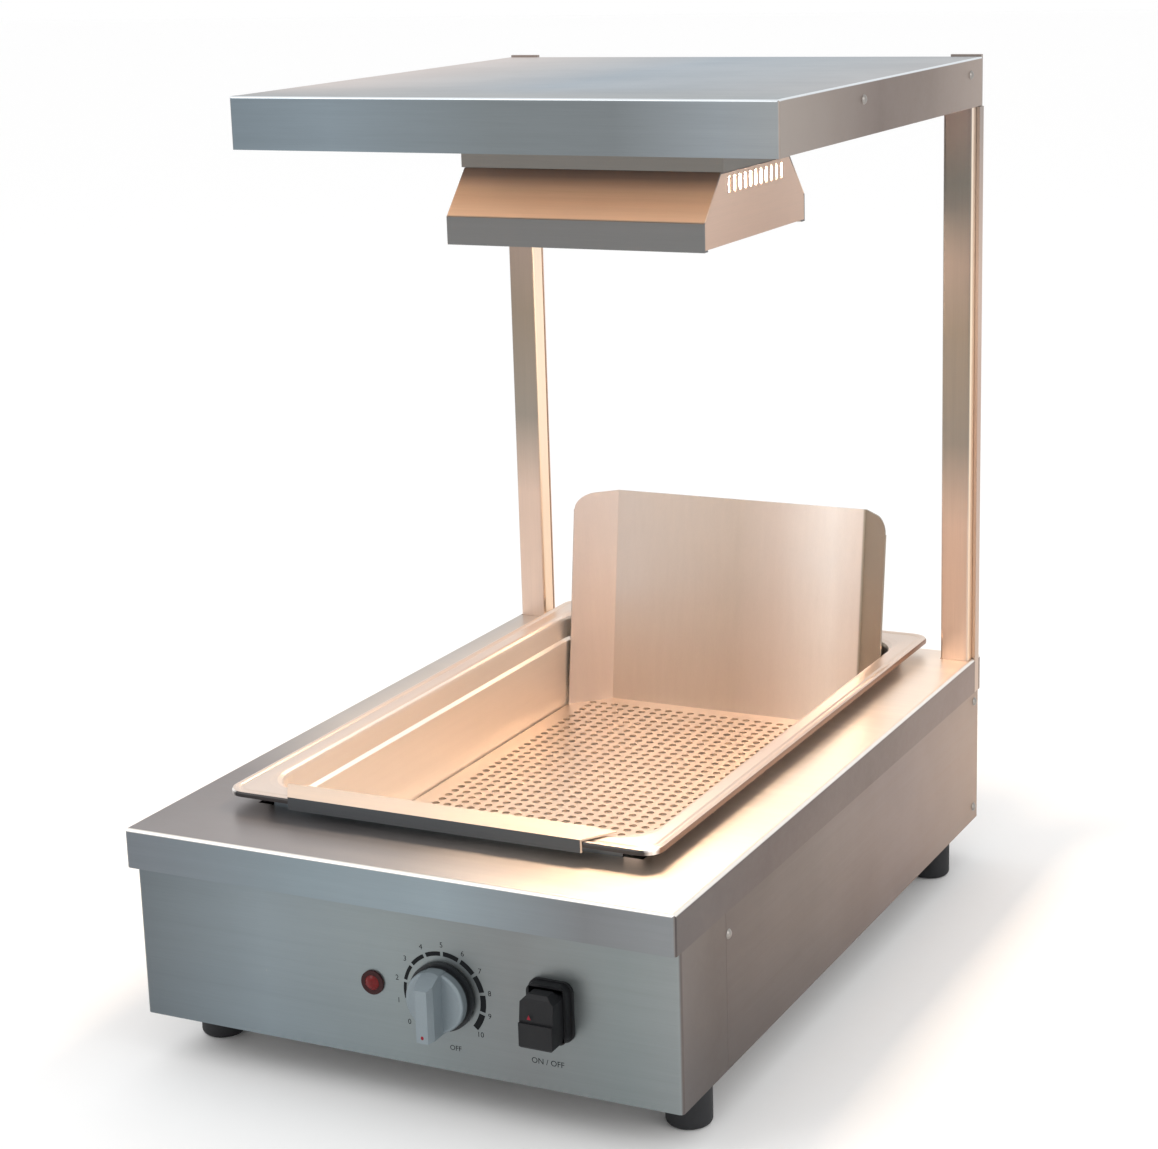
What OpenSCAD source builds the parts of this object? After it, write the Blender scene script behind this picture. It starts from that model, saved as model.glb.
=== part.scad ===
// Chip warmer: a heated base with a lift-out pan, a perforated chip insert with
// its rear deflector, and a lamp hood under a canopy on two rear posts.
// Millimetres. X is across, Y runs from the front to the rear, Z is up.
// Y is laid out from the front edge of the top cover, and place() then moves
// everything so that the origin is under the middle of the whole, on the floor.

/* [Sheet metal] */
// Thickness of the stainless steel sheet
sheet = 1.2; // [1.0:0.1:1.5]
// Gap between two lapped sheets
seam = 0.2; // [0.1:0.05:0.3]
// Gap around pieces that pass or seat on each other
clear = 0.3; // [0.25:0.05:0.5]
// Radial clearance of a screw or thread in its hole
hole_fit = 0.1; // [0.05:0.01:0.1]

/* [Body] */
// Width over the top cover
cover_w = 406; // [400:1:430]
// Depth of the top cover
cover_d = 595; // [595:1:625]
// Height of the cover's top face above the floor
cover_top = 171; // [165:1:185]
// Height of the cover's folded skirt
skirt_h = 28; // [22:1:34]
// Distance from the cover's front edge back to the front panel
panel_inset = 9.5; // [6:0.5:14]
// Length of the front panel's side returns
return_len = 70.5; // [60:0.5:90]
// Overlap of the front panel behind the side panels
lap = 16; // [12:1:24]
// Height of the tray's upturned edges
tray_edge = 20; // [14:1:24]

/* [Feet] */
// Height of the feet, and of the body's underside
foot_h = 34; // [28:1:40]
// Diameter of the feet
foot_dia = 31; // [26:1:36]
// Middle of the feet in from the cover's sides
foot_side = 23.4; // [21:0.1:38]
// Middle of the front feet behind the cover's front edge
foot_front = 66.5; // [50:0.5:90]
// Middle of the rear feet ahead of the cover's rear edge
foot_rear = 54.8; // [45:0.1:80]
// Diameter of the screws that hold the feet
foot_screw = 8; // [6:1:10]

/* [Pan] */
// Width of the pan over its rim
pan_w = 325; // [320:1:330]
// Length of the pan over its rim
pan_l = 530; // [520:1:530]
// Depth of the pan from its rim to its underside
pan_depth = 98; // [60:1:100]
// Thickness of the pan's steel
pan_t = 0.9; // [0.8:0.1:1.0]
// Width of the pan's flange
pan_flange = 19; // [17:0.5:21]
// Distance of the rim's rear edge ahead of the cover's rear edge
pan_rear = 4; // [4:0.5:8]
// Height of the rim's top above the cover
rim_h = 13; // [11:0.5:16]
// Outer corner radius of the rim
rim_r = 14; // [10:1:18]
// Corner radius of the pan's opening
pan_r = 37; // [30:1:40]
// Depth of the wide upper part above the stacking step
step_depth = 19.4; // [16:0.2:24]

/* [Chip insert] */
// Height of the perforated floor above the pan's underside
floor_h = 23; // [18:1:30]
// Diameter of the drain holes
hole_dia = 6; // [4:0.5:7]
// Spacing of the drain holes
hole_pitch = 10; // [9:0.5:12]
// Plain border around the drain holes
border = 17; // [14:1:22]
// Distance of the hook's ends in from the sides of the pan's opening
hook_side = 25.5; // [20:0.5:40]
// Height of the hook's turned-down lip
hook_lip = 9; // [6:0.5:10]
// Diameter of the legs under the floor
leg_dia = 6; // [4:0.5:6]

/* [Deflector] */
// Height of the deflector above the floor of the insert
deflector_h = 176; // [120:1:176]
// Lean of the deflector to the rear, in degrees
deflector_lean = 7.4; // [4:0.1:7.5]
// Reach of each wing across, from its fold to the side of the insert's floor
wing_x = 27.7; // [20:0.1:36]
// Reach of each wing forward
wing_y = 28.4; // [15:0.1:32]
// Distance of the deflector's foot ahead of the floor's rear edge
deflector_set = 2.6; // [2:0.1:5]

/* [Canopy] */
// Height of the canopy's top above the floor
canopy_top = 642; // [600:1:700]
// Height of the canopy's folded skirt
canopy_skirt = 36.5; // [36:0.5:44]
// Depth of the canopy
canopy_d = 410; // [400:1:440]
// Length of the front skirt's tabs on the sides
tab_len = 16; // [12:1:22]
// Height of the canopy's underside panel above the skirt's lower edge
inner_h = 2.5; // [2:0.5:5]
// Height of the screws in the canopy's sides below its top
canopy_screw_drop = 12; // [10:0.5:14]

/* [Posts] */
// Width of the posts
post_w = 23.2; // [18:0.1:28]
// Depth of the posts with their cover strips
post_d = 18; // [16:0.5:24]
// Depth of the cover strip on the post's outer side
strip_d = 9; // [7:0.5:11]
// Distance of the posts' rear face ahead of the cover's rear edge
post_set = 6; // [5.5:0.1:8]
// Height of the rear brackets
bracket_h = 92; // [80:1:110]
// Thickness of the rear brackets
bracket_t = 4; // [3:0.5:5]
// Width of the rear brackets
bracket_w = 24; // [18:1:26]

/* [Hood] */
// Width of the hood
hood_w = 201.2; // [180:0.2:230]
// Depth of the hood over its upright bands
hood_d = 185.4; // [170:0.2:200]
// Depth of the hood's flat top
hood_top_d = 126.4; // [110:0.2:140]
// Height of the upright bands
band_h = 19.8; // [16:0.2:26]
// Height of the whole hood
hood_h = 51.8; // [48:0.2:60]
// Distance of the hood's front behind the canopy's front edge
hood_set = 114.5; // [90:0.5:130]
// Reach of the neck beyond each end of the hood
neck_over = 2.4; // [0:0.2:6]
// Gap between the hood's top and the canopy's underside panel
neck_h = 27.5; // [20:0.5:40]
// Number of slots in each end plate
slots = 11; // [7:1:12]
// Spacing of the slots
slot_pitch = 9.5; // [8:0.1:10]
// Width of the slots
slot_w = 4; // [3:0.2:5]
// Height of the slots
slot_h = 12; // [8:0.5:13]
// Diameter of the heat tubes
tube_dia = 10; // [8:1:12]
// Distance between the two heat tubes
tube_gap = 82; // [60:1:100]
// Diameter of the wires of the lamp guard
guard_wire = 2.5; // [2:0.1:3]
// Number of guard wires across the hood's mouth
guard_wires = 9; // [5:1:11]

/* [Base heater] */
// Distance between the bottoms of the pan and of the well
well_gap = 26; // [22:1:26]
// Diameter of the tubular element
element_dia = 8; // [6:0.5:9]
// Distance between the element's runs
element_pitch = 60; // [50:1:64]

/* [Controls] */
// Height of the knob's middle above the floor
knob_z = 86; // [80:0.5:92]
// Distance of the knob's middle to the right of the centre
knob_x = 33.7; // [25:0.1:50]
// Diameter of the knob's skirt
knob_dia = 46.5; // [40:0.5:50]
// Height of the knob's round body ahead of the panel
knob_body_h = 13; // [10:0.5:16]
// Reach of the knob's grip ahead of the panel
knob_h = 29; // [24:0.5:32]
// Width of the knob's grip
grip_w = 12.6; // [10:0.2:15]
// Diameter of the regulator's shaft
shaft_dia = 6; // [5:0.5:6.5]
// Distance of the indicator's middle to the left of the centre
lamp_x = 18.7; // [12:0.1:30]
// Diameter of the indicator's bezel
lamp_dia = 16.5; // [14:0.5:19]
// Distance of the switch's middle to the right of the centre
switch_x = 112.5; // [100:0.5:125]
// Height of the switch's middle above the floor
switch_z = 90; // [85:0.5:97]
// Width of the switch's bezel
switch_w = 31; // [31:0.5:35]
// Height of the switch's bezel
switch_h = 41; // [41:0.5:46]
// Reach of the rocker ahead of the panel
rocker_reach = 24.5; // [18:0.5:26]
// Width of the rocker
rocker_w = 23.4; // [19:0.2:23.4]
// Height of the rocker
rocker_h = 35; // [30:0.5:35]

/* [Cable entry] */
// Bore of the cable gland
gland_bore = 9; // [7:0.5:11]
// Thread diameter of the cable gland
gland_thread = 20; // [18:0.5:20]
// Distance of the gland from the middle, across
gland_x = 120; // [90:1:140]
// Height of the gland's middle above the underside of the body
gland_h = 18; // [17:0.5:19]

/* [Screws] */
// Diameter of the sheet-metal screws
screw_dia = 4; // [3:0.5:5]
// Diameter of their heads
screw_head = 7; // [6:0.5:9]

/* [Hidden] */
$fn = 48;

// Colours
steel = [0.72, 0.73, 0.74];
warm_steel = [0.82, 0.76, 0.68];
dark_steel = [0.45, 0.45, 0.46];
plastic_black = [0.08, 0.08, 0.09];
plastic_silver = [0.68, 0.70, 0.72];
rubber = [0.07, 0.07, 0.07];
lens_red = [0.45, 0.05, 0.04];
ceramic = [0.93, 0.91, 0.86];
quartz = [0.95, 0.80, 0.62];
aluminium = [0.85, 0.85, 0.86];

// Body planes
eps = 0.01;
fold_r = 3;
edge_r = 2;
half_w = cover_w / 2;
foot_x = half_w - foot_side;
body_z = foot_h;
side_x = half_w - sheet - seam;
inner_x = side_x - sheet - seam;
panel_y = panel_inset;
panel_back = panel_y + sheet;
panel_top = cover_top - sheet - 4.8;
rear_y = cover_d - sheet - seam;
side_rear = rear_y - sheet - seam;
return_y = panel_y + return_len;
rear_flange = 15;
rear_x = side_x - fold_r + sheet;
panel_fold = 14;
tray_top = body_z + sheet;
tray_back = side_rear - sheet - seam;

// Pan planes
rim_top = cover_top + rim_h;
rim_rear = cover_d - pan_rear;
rim_front = rim_rear - pan_l;
rim_x = pan_w / 2;
pan_z = rim_top - pan_depth;
opening_x = rim_x - pan_flange;
opening_front = rim_front + pan_flange;
opening_rear = rim_rear - pan_flange;
step_z = rim_top - step_depth;
wall_taper = 1.2;
step_in = 2;
bottom_r = 10;
bead_drop = 4;
flange_drop = 0.75;
corner_steps = 8;
collar_gap = 2.7;
collar_notch = 14;

// Insert planes
floor_top = pan_z + floor_h;
floor_in = 1.0 + step_in + wall_taper + 1.6;
floor_x = opening_x - floor_in;
floor_front = opening_front + floor_in + 0.6;
floor_rear = opening_rear - floor_in - 3.2;
hook_z = rim_top + clear;
hook_y = rim_front - clear;
wall_half = opening_x - pan_r * 0.9;
deflector_y = floor_rear - deflector_set;
deflector_x = floor_x - wing_x;
wing_tip = 0.7;
leg_x = opening_x - 16.5;
leg_lift = 0.5;
leg_end = 35;

// Canopy and post planes
post_x = inner_x - post_w;
post_rear = cover_d - post_set;
tube_rear = post_rear - sheet - seam;
post_front = post_rear - post_d;
canopy_z = canopy_top - canopy_skirt;
canopy_side = half_w - sheet;
canopy_front = post_rear - canopy_d;
inner_z = canopy_z + inner_h;
liner_x = canopy_side - sheet - seam;
bracket_top = canopy_top + 1.5;
bracket_z = bracket_top - bracket_h;
post_mid = (post_x + inner_x) / 2;
post_r = 2.2;

// Hood planes
hood_x = hood_w / 2;
neck_x = hood_x + neck_over;
neck_screw_in = 5.6;
neck_fold = 16;
wire_hole = 22;
hood_top = inner_z - neck_h;
hood_z = hood_top - hood_h;
band_top = hood_z + band_h;
hood_front = canopy_front + hood_set;
hood_rear = hood_front + hood_d;
top_front = hood_front + (hood_d - hood_top_d) / 2;
top_rear = top_front + hood_top_d;
hood_mid = (hood_front + hood_rear) / 2;
end_x = hood_x - sheet;
tube_z = hood_z + 24;
holder_x = end_x - 10;

// Well planes
well_z = pan_z - well_gap;
well_x = opening_x + 10.5;
well_front = opening_front - 10;
well_rear = opening_rear + 10;
well_lip = 10;
element_z = well_z + 13;
run_front = well_front + 45;
run_rear = well_rear - 45;
element_tail = 14;
saddle_in = 90;
saddle_over = 12;
saddle_w = 10;

// Controls
lamp_z = knob_z + 0.7;
knob_gap = 0.8;
bush_dia = 10;
bush_len = 5;
nut_t = 3;
rocker_pivot_y = panel_y - 6;
bezel_front = panel_y - 8.5;
switch_in_w = rocker_w + 2.4;
switch_in_h = rocker_h + 2.2;
switch_r = 7;
gland_z = body_z + gland_h;
gland_in = 10;
gland_out = 24;

// The whole, from the knob's grip to the end of the gland
front_end = panel_y - knob_h;
rear_end = rear_y + gland_out;
mid_y = (front_end + rear_end) / 2;

// Screw places
seam_screw_z = 126.4;
post_screw_low = 11;
post_screw_high = 100.2;
post_screw_y = post_rear - 6;
canopy_screw_z = canopy_top - canopy_screw_drop;
canopy_screw_front = canopy_front + 153.8;
canopy_screw_rear = post_front - 9.4;
rear_screw_x = side_x - 8;

module place() {
    translate([0, -mid_y, 0]) children();
}

// Mirrors a right-hand piece to the left-hand side
module on_side(s) {
    if (s > 0) children();
    else mirror([1, 0, 0]) children();
}

module box(lo, hi) {
    translate(lo) cube([hi[0] - lo[0], hi[1] - lo[1], hi[2] - lo[2]]);
}

// Unit normal to the left of the line from a to b
function side_of(a, b) =
    let (d = b - a, l = norm(d)) [-d[1] / l, d[0] / l];

// A path moved sideways by t, with mitred corners
function moved(p, t) = [
    for (i = [0:len(p) - 1])
        let (
            m = side_of(p[max(i - 1, 0)], p[max(i, 1)]),
            n = side_of(p[min(i, len(p) - 2)], p[min(i + 1, len(p) - 1)]),
            s = m + n
        ) p[i] + s * (t / (1 + m * n))
];

function backwards(p) = [for (i = [len(p) - 1:-1:0]) p[i]];

// Cross-section of a sheet of thickness t to the left of a path
module sheet_section(p, t) {
    polygon(concat(p, backwards(moved(p, t))));
}

// Extrudes a section drawn in Y and Z along X, from x0 to x1
module along_x(x0, x1) {
    translate([x0, 0, 0]) rotate([90, 0, 90]) linear_extrude(x1 - x0) children();
}

// Rounded rectangle from lo to hi
module rounded_rect(lo, hi, r) {
    translate([lo[0], lo[1] + r]) square([hi[0] - lo[0], hi[1] - lo[1] - 2 * r]);
    translate([lo[0] + r, lo[1]]) square([hi[0] - lo[0] - 2 * r, hi[1] - lo[1]]);
    for (x = [lo[0] + r, hi[0] - r], y = [lo[1] + r, hi[1] - r]) translate([x, y]) circle(r);
}

// Outline from lo to hi with rounded upper corners
module round_top(lo, hi, r) {
    translate(lo) square([hi[0] - lo[0], hi[1] - lo[1] - r]);
    translate([lo[0] + r, lo[1]]) square([hi[0] - lo[0] - 2 * r, hi[1] - lo[1]]);
    for (x = [lo[0] + r, hi[0] - r]) translate([x, hi[1] - r]) circle(r);
}

// Box with its upright and upper edges folded to a radius
module folded_box(lo, hi, r) {
    intersection() {
        translate([0, 0, lo[2]]) linear_extrude(hi[2] - lo[2])
            rounded_rect([lo[0], lo[1]], [hi[0], hi[1]], r);
        along_x(lo[0], hi[0]) round_top([lo[1], lo[2]], [hi[1], hi[2]], r);
        translate([0, hi[1], 0]) rotate([90, 0, 0]) linear_extrude(hi[1] - lo[1])
            round_top([lo[0], lo[2]], [hi[0], hi[2]], r);
    }
}

module rod_x(x0, x1, y, z, d) {
    translate([x0, y, z]) rotate([0, 90, 0]) cylinder(d = d, h = x1 - x0);
}

module rod_y(x, y0, y1, z, d) {
    translate([x, y0, z]) rotate([-90, 0, 0]) cylinder(d = d, h = y1 - y0);
}

module rod_z(x, y, z0, z1, d) {
    translate([x, y, z0]) cylinder(d = d, h = z1 - z0);
}

// A pan-head screw with its seat at the origin and its shank down -Z
module screw(len) {
    head_h = screw_head * 0.28;
    ball_r = (pow(screw_head / 2, 2) + pow(head_h, 2)) / (2 * head_h);
    translate([0, 0, -len]) cylinder(d = screw_dia, h = len + eps);
    intersection() {
        translate([0, 0, head_h - ball_r]) sphere(ball_r);
        cylinder(d = screw_head, h = head_h);
    }
}

module screw_holes_x(x0, x1, places) {
    for (p = places) rod_x(x0, x1, p[0], p[1], screw_dia + 2 * hole_fit);
}

// Places of the screws in each side, as [y, z]
function side_places() = [
    [return_y + 4, seam_screw_z],
    [post_screw_y, body_z + post_screw_low],
    [post_screw_y, body_z + post_screw_high]
];
function canopy_places() = [
    [canopy_screw_front, canopy_screw_z],
    [canopy_screw_rear, canopy_screw_z]
];
function rear_places() = [
    [rear_screw_x, body_z + 26],
    [rear_screw_x, body_z + 96]
];
function bracket_places() = [bracket_z + 12, bracket_z + 40, bracket_z + 72];
function neck_places() = [
    for (x = [-1, 1], y = [-1, 1])
        [x * (hood_x - neck_screw_in), hood_mid + y * (hood_top_d / 2 - neck_fold / 2)]
];

// Folded lid of the base. Four flanges stand up around its cut-out and carry the pan's rim.
module top_cover() {
    collar_top = rim_top - pan_t - flange_drop - clear;
    x1 = opening_x + collar_gap;
    y0 = opening_front - collar_gap;
    y1 = opening_rear + collar_gap;
    color(steel) place() difference() {
        union() {
            difference() {
                folded_box([-half_w, 0, cover_top - skirt_h], [half_w, cover_d, cover_top], fold_r);
                folded_box(
                    [-half_w + sheet, sheet, cover_top - skirt_h - 1],
                    [half_w - sheet, cover_d - sheet, cover_top - sheet], fold_r - sheet
                );
            }
            for (s = [-1, 1]) on_side(s)
                box([x1, y0 + collar_notch, cover_top - sheet], [x1 + sheet, y1 - collar_notch, collar_top]);
            for (y = [y0 - sheet, y1])
                box([-x1 + collar_notch, y, cover_top - sheet], [x1 - collar_notch, y + sheet, collar_top]);
        }
        box([-x1, y0, cover_top - sheet - 1], [x1, y1, cover_top + 1]);
        for (s = [-1, 1]) on_side(s) {
            box(
                [post_x - clear, post_front - clear, cover_top - sheet - 1],
                [inner_x + clear, post_rear + clear, cover_top + 1]
            );
            box(
                [inner_x - 1, post_rear - strip_d - clear, cover_top - skirt_h - 1],
                [half_w + 1, post_rear + clear, cover_top + 1]
            );
        }
    }
}

module front_panel() {
    color(steel) place() difference() {
        union() {
            difference() {
                translate([0, 0, body_z]) linear_extrude(panel_top - body_z) intersection() {
                    rounded_rect([-side_x, panel_y], [side_x, return_y + 2 * fold_r], fold_r);
                    translate([-side_x, panel_y]) square([2 * side_x, return_len]);
                }
                translate([0, 0, body_z - 1]) linear_extrude(panel_top - body_z + 2)
                    rounded_rect(
                        [-side_x + sheet, panel_back], [side_x - sheet, return_y + 2 * fold_r],
                        fold_r - sheet
                    );
            }
            for (s = [-1, 1]) on_side(s) {
                box([inner_x - sheet, return_y - 6, body_z], [side_x - sheet + eps, return_y, panel_top]);
                box([inner_x - sheet, return_y - 6, body_z], [inner_x, return_y + lap, panel_top]);
            }
            box(
                [-side_x + fold_r, panel_y + eps, body_z],
                [side_x - fold_r, panel_y + panel_fold, body_z + sheet]
            );
        }
        rod_y(-lamp_x, panel_y - 1, panel_back + 1, lamp_z, lamp_dia - 4 + 2 * hole_fit);
        rod_y(knob_x, panel_y - 1, panel_back + 1, knob_z, bush_dia + 2 * hole_fit);
        box(
            [switch_x - switch_in_w / 2 - hole_fit, panel_y - 1, switch_z - switch_in_h / 2 - hole_fit],
            [switch_x + switch_in_w / 2 + hole_fit, panel_back + 1, switch_z + switch_in_h / 2 + hole_fit]
        );
        for (s = [-1, 1]) on_side(s) screw_holes_x(inner_x - 5, side_x + 1, [side_places()[0]]);
    }
}

// Flat side with a flange turned in at the rear
module side_panel(s) {
    color(steel) place() on_side(s) difference() {
        union() {
            box([side_x - sheet, return_y + seam, body_z], [side_x, side_rear, panel_top]);
            box([side_x - rear_flange, side_rear - sheet, body_z], [side_x, side_rear, panel_top]);
        }
        screw_holes_x(side_x - 5, side_x + 1, side_places());
        for (p = rear_places())
            rod_y(p[0], side_rear - 5, side_rear + 1, p[1], screw_dia + 2 * hole_fit);
    }
}
module side_panel_left() { side_panel(-1); }
module side_panel_right() { side_panel(1); }

module rear_panel() {
    color(steel) place() difference() {
        box([-rear_x, rear_y - sheet, body_z], [rear_x, rear_y, panel_top]);
        rod_y(gland_x, rear_y - 5, rear_y + 1, gland_z, gland_thread + 2 * hole_fit);
        for (s = [-1, 1]) on_side(s) for (p = rear_places())
            rod_y(p[0], rear_y - 5, rear_y + 1, p[1], screw_dia + 2 * hole_fit);
    }
}

module base_tray() {
    front = panel_y + panel_fold + seam;
    color(dark_steel) place() difference() {
        union() {
            box([-inner_x + sheet + seam, front, body_z], [inner_x - sheet - seam, tray_back, tray_top]);
            box([-inner_x, return_y + lap + 4, body_z], [inner_x, tray_back, tray_top]);
            box([-post_x, front, body_z], [post_x, front + sheet, body_z + tray_edge]);
            for (s = [-1, 1]) on_side(s)
                box(
                    [inner_x - sheet, return_y + lap + 4, body_z],
                    [inner_x, post_front - 10, body_z + tray_edge]
                );
            box([-post_x + 8, tray_back - sheet, body_z], [gland_x - 30, tray_back, body_z + tray_edge]);
        }
        for (x = [-foot_x, foot_x], y = [foot_front, cover_d - foot_rear])
            rod_z(x, y, body_z - 1, tray_top + 1, foot_screw + 2 * hole_fit);
    }
}

// Rubber foot with a rounded lower edge and a blind hole for its screw
module foot(x, y) {
    edge = 4;
    color(rubber) place() translate([x, y, 0]) difference() {
        rotate_extrude() {
            square([foot_dia / 2 - edge, foot_h]);
            translate([0, edge]) square([foot_dia / 2, foot_h - edge]);
            translate([foot_dia / 2 - edge, edge]) circle(edge);
        }
        translate([0, 0, foot_h - 16]) cylinder(d = foot_screw + 2 * hole_fit, h = 17);
    }
}
module foot_front_left() { foot(-foot_x, foot_front); }
module foot_front_right() { foot(foot_x, foot_front); }
module foot_rear_left() { foot(-foot_x, cover_d - foot_rear); }
module foot_rear_right() { foot(foot_x, cover_d - foot_rear); }

module foot_screws() {
    color(steel) place()
        for (x = [-foot_x, foot_x], y = [foot_front, cover_d - foot_rear]) {
            rod_z(x, y, body_z - 15, tray_top + 1, foot_screw);
            translate([x, y, tray_top]) cylinder(d = foot_screw * 1.6, h = 3, $fn = 6);
        }
}

// Half-section of the pan's inner face, from the rim's lip to the bottom,
// as [inset from the rim's edge, height]
function pan_section() = [
    [0, rim_top - bead_drop],
    [0, rim_top - 1.7],
    [0.6, rim_top - 0.5],
    [2, rim_top],
    [3.6, rim_top - 0.4],
    [4.8, rim_top - 1.1],
    [6, rim_top - 1.1],
    [7.4, rim_top - 0.5],
    [pan_flange - 4, rim_top - 0.4],
    [pan_flange - 1.8, rim_top - 0.9],
    [pan_flange - 0.4, rim_top - 2.4],
    [pan_flange, rim_top - 4.6],
    [pan_flange + 1, step_z],
    [pan_flange + 1 + step_in, step_z - 2.4],
    [pan_flange + 1.2 + step_in, step_z - 4.4],
    [pan_flange + 1.2 + step_in + wall_taper, pan_z + pan_t + bottom_r],
    for (a = [30, 60, 90])
        [
            pan_flange + 1.2 + step_in + wall_taper + bottom_r * (1 - cos(a)),
            pan_z + pan_t + bottom_r * (1 - sin(a))
        ]
];

// Corner radius of the pan at an inset from the rim's edge
function pan_corner(i) =
    i < 8 ? rim_r - i / 2
    : i < pan_flange ? rim_r - 4 + (pan_r - rim_r + 4) * (i - 8) / (pan_flange - 8)
    : pan_r - (i - pan_flange) * 0.6;

// One closed outline of the pan at inset i and height z
function pan_ring(i, z) =
    let (
        r = pan_corner(i),
        x = rim_x - i - r,
        y0 = rim_front + i + r,
        y1 = rim_rear - i - r
    ) [
        for (q = [0:3], k = [0:corner_steps])
            let (a = 90 * q + 90 * k / corner_steps)
                [
                    (q == 0 || q == 3 ? x : -x) + r * cos(a),
                    (q < 2 ? y1 : y0) + r * sin(a),
                    z
                ]
    ];

module pan() {
    inner = pan_section();
    outer = moved(inner, -pan_t);
    rows = concat(backwards(inner), outer);
    n = 4 * (corner_steps + 1);
    last = len(rows) - 1;
    points = [for (r = rows) each pan_ring(r[0], r[1])];
    walls = [
        for (j = [0:last - 1], k = [0:n - 1])
            let (m = (k + 1) % n, a = j * n, b = a + n) [a + k, a + m, b + m, b + k]
    ];
    color(warm_steel) place() polyhedron(
        points,
        concat([[for (k = [n - 1:-1:0]) k]], walls, [[for (k = [0:n - 1]) last * n + k]])
    );
}

// Outline of the insert's floor: its front corners are round like the pan's,
// and its rear corners follow the deflector's wings
module floor_outline() {
    cut_x = deflector_x - 2;
    cut_y = floor_rear - (floor_x - cut_x) * wing_y / wing_x;
    intersection() {
        polygon([
            [-floor_x, floor_front], [floor_x, floor_front], [floor_x, cut_y],
            [cut_x, floor_rear], [-cut_x, floor_rear], [-floor_x, cut_y]
        ]);
        rounded_rect([-floor_x, floor_front], [floor_x, floor_rear + pan_r], pan_r - 3);
    }
}

module insert_floor() {
    across = floor((floor_x - border) / hole_pitch);
    row_0 = floor_front + border;
    rows = floor((deflector_y - border + 2 - row_0) / hole_pitch);
    color(warm_steel) place() translate([0, 0, floor_top - sheet])
        linear_extrude(sheet) difference() {
            floor_outline();
            for (i = [-across:across], j = [0:rows])
                translate([i * hole_pitch, row_0 + j * hole_pitch]) circle(d = hole_dia, $fn = 24);
        }
}

// Front wall of the insert, folded over the pan's front rim
module insert_hook() {
    section = [
        [hook_y - sheet, hook_z + sheet - hook_lip],
        [hook_y - sheet, hook_z + sheet],
        [opening_front + 4.6, hook_z + sheet],
        [floor_front - seam, floor_top - sheet]
    ];
    half = opening_x - hook_side;
    tip = 9;
    color(warm_steel) place() intersection() {
        along_x(-opening_x, opening_x) sheet_section(section, -sheet);
        linear_extrude(rim_top * 2) polygon([
            [-half + tip, hook_y - 3], [half - tip, hook_y - 3],
            [half + tip - 2, opening_front + 3], [wall_half, opening_front + 3],
            [wall_half, opening_front + pan_flange], [-wall_half, opening_front + pan_flange],
            [-wall_half, opening_front + 3], [-half - tip + 2, opening_front + 3]
        ]);
    }
}

module insert_legs() {
    color(warm_steel) place()
        for (x = [-leg_x, leg_x], y = [floor_front + leg_end, floor_rear - leg_end - wing_y])
            rod_z(x, y, pan_z + pan_t + leg_lift, floor_top - sheet, leg_dia);
}

// Leaning sheet with a wing on each side, cut level where it stands
module back_deflector() {
    r = 12;
    half = deflector_x;
    reach = floor_x - wing_tip;
    lean_h = deflector_h / cos(deflector_lean) + 5;
    plan = [
        [-reach, -wing_y], [-half, 0], [half, 0], [reach, -wing_y]
    ];
    color(warm_steel) place() intersection() {
        translate([0, deflector_y, floor_top]) rotate([-deflector_lean, 0, 0])
            translate([0, 0, -5]) linear_extrude(lean_h + 5) sheet_section(plan, sheet);
        translate([0, floor_rear + 60, floor_top]) rotate([90, 0, 0]) linear_extrude(200) union() {
            translate([-reach - sheet, 0]) square([2 * (reach + sheet), deflector_h - r]);
            translate([-reach + r, 0]) square([2 * (reach - r), deflector_h]);
            for (s = [-1, 1]) translate([s * (reach - r), deflector_h - r]) circle(r);
        }
    }
}

// Open sheet box around the pan, hung on a flange under the cover
module heater_well() {
    lip_top = cover_top - sheet - seam;
    color(dark_steel) place() difference() {
        union() {
            box([-well_x, well_front, well_z], [well_x, well_rear, lip_top]);
            box(
                [-well_x - well_lip, well_front - well_lip, lip_top - sheet],
                [well_x + well_lip, well_rear + 3, lip_top]
            );
        }
        box(
            [-well_x + sheet, well_front + sheet, well_z + sheet],
            [well_x - sheet, well_rear - sheet, lip_top + 1]
        );
        for (x = [-1.5 * element_pitch, 1.5 * element_pitch])
            rod_y(x, well_front - 1, well_front + 3, element_z, element_dia + 2 * hole_fit);
    }
}

// Tubular element: four runs and three bends, with both ends through the well's front
module base_element() {
    r = element_pitch / 2;
    first = -1.5 * element_pitch;
    color(dark_steel) place() {
        for (i = [0:3])
            rod_y(
                first + i * element_pitch,
                i == 0 || i == 3 ? well_front - element_tail : run_front,
                run_rear, element_z, element_dia
            );
        for (i = [0:2])
            translate([first + (i + 0.5) * element_pitch, i == 1 ? run_front : run_rear, element_z])
                rotate([0, 0, i == 1 ? 180 : 0]) rotate_extrude(angle = 180)
                    translate([r, 0]) circle(d = element_dia);
    }
}

// Notched bars that carry the element above the well's floor
module element_saddles() {
    reach = 1.5 * element_pitch + saddle_over;
    half = saddle_w / 2;
    color(steel) place() for (y = [run_front + saddle_in, run_rear - saddle_in]) difference() {
        box([-reach, y - half, well_z + sheet], [reach, y + half, element_z]);
        for (i = [-1.5:1.5])
            rod_y(i * element_pitch, y - half - 1, y + half + 1, element_z, element_dia + 2 * hole_fit);
    }
}

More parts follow.
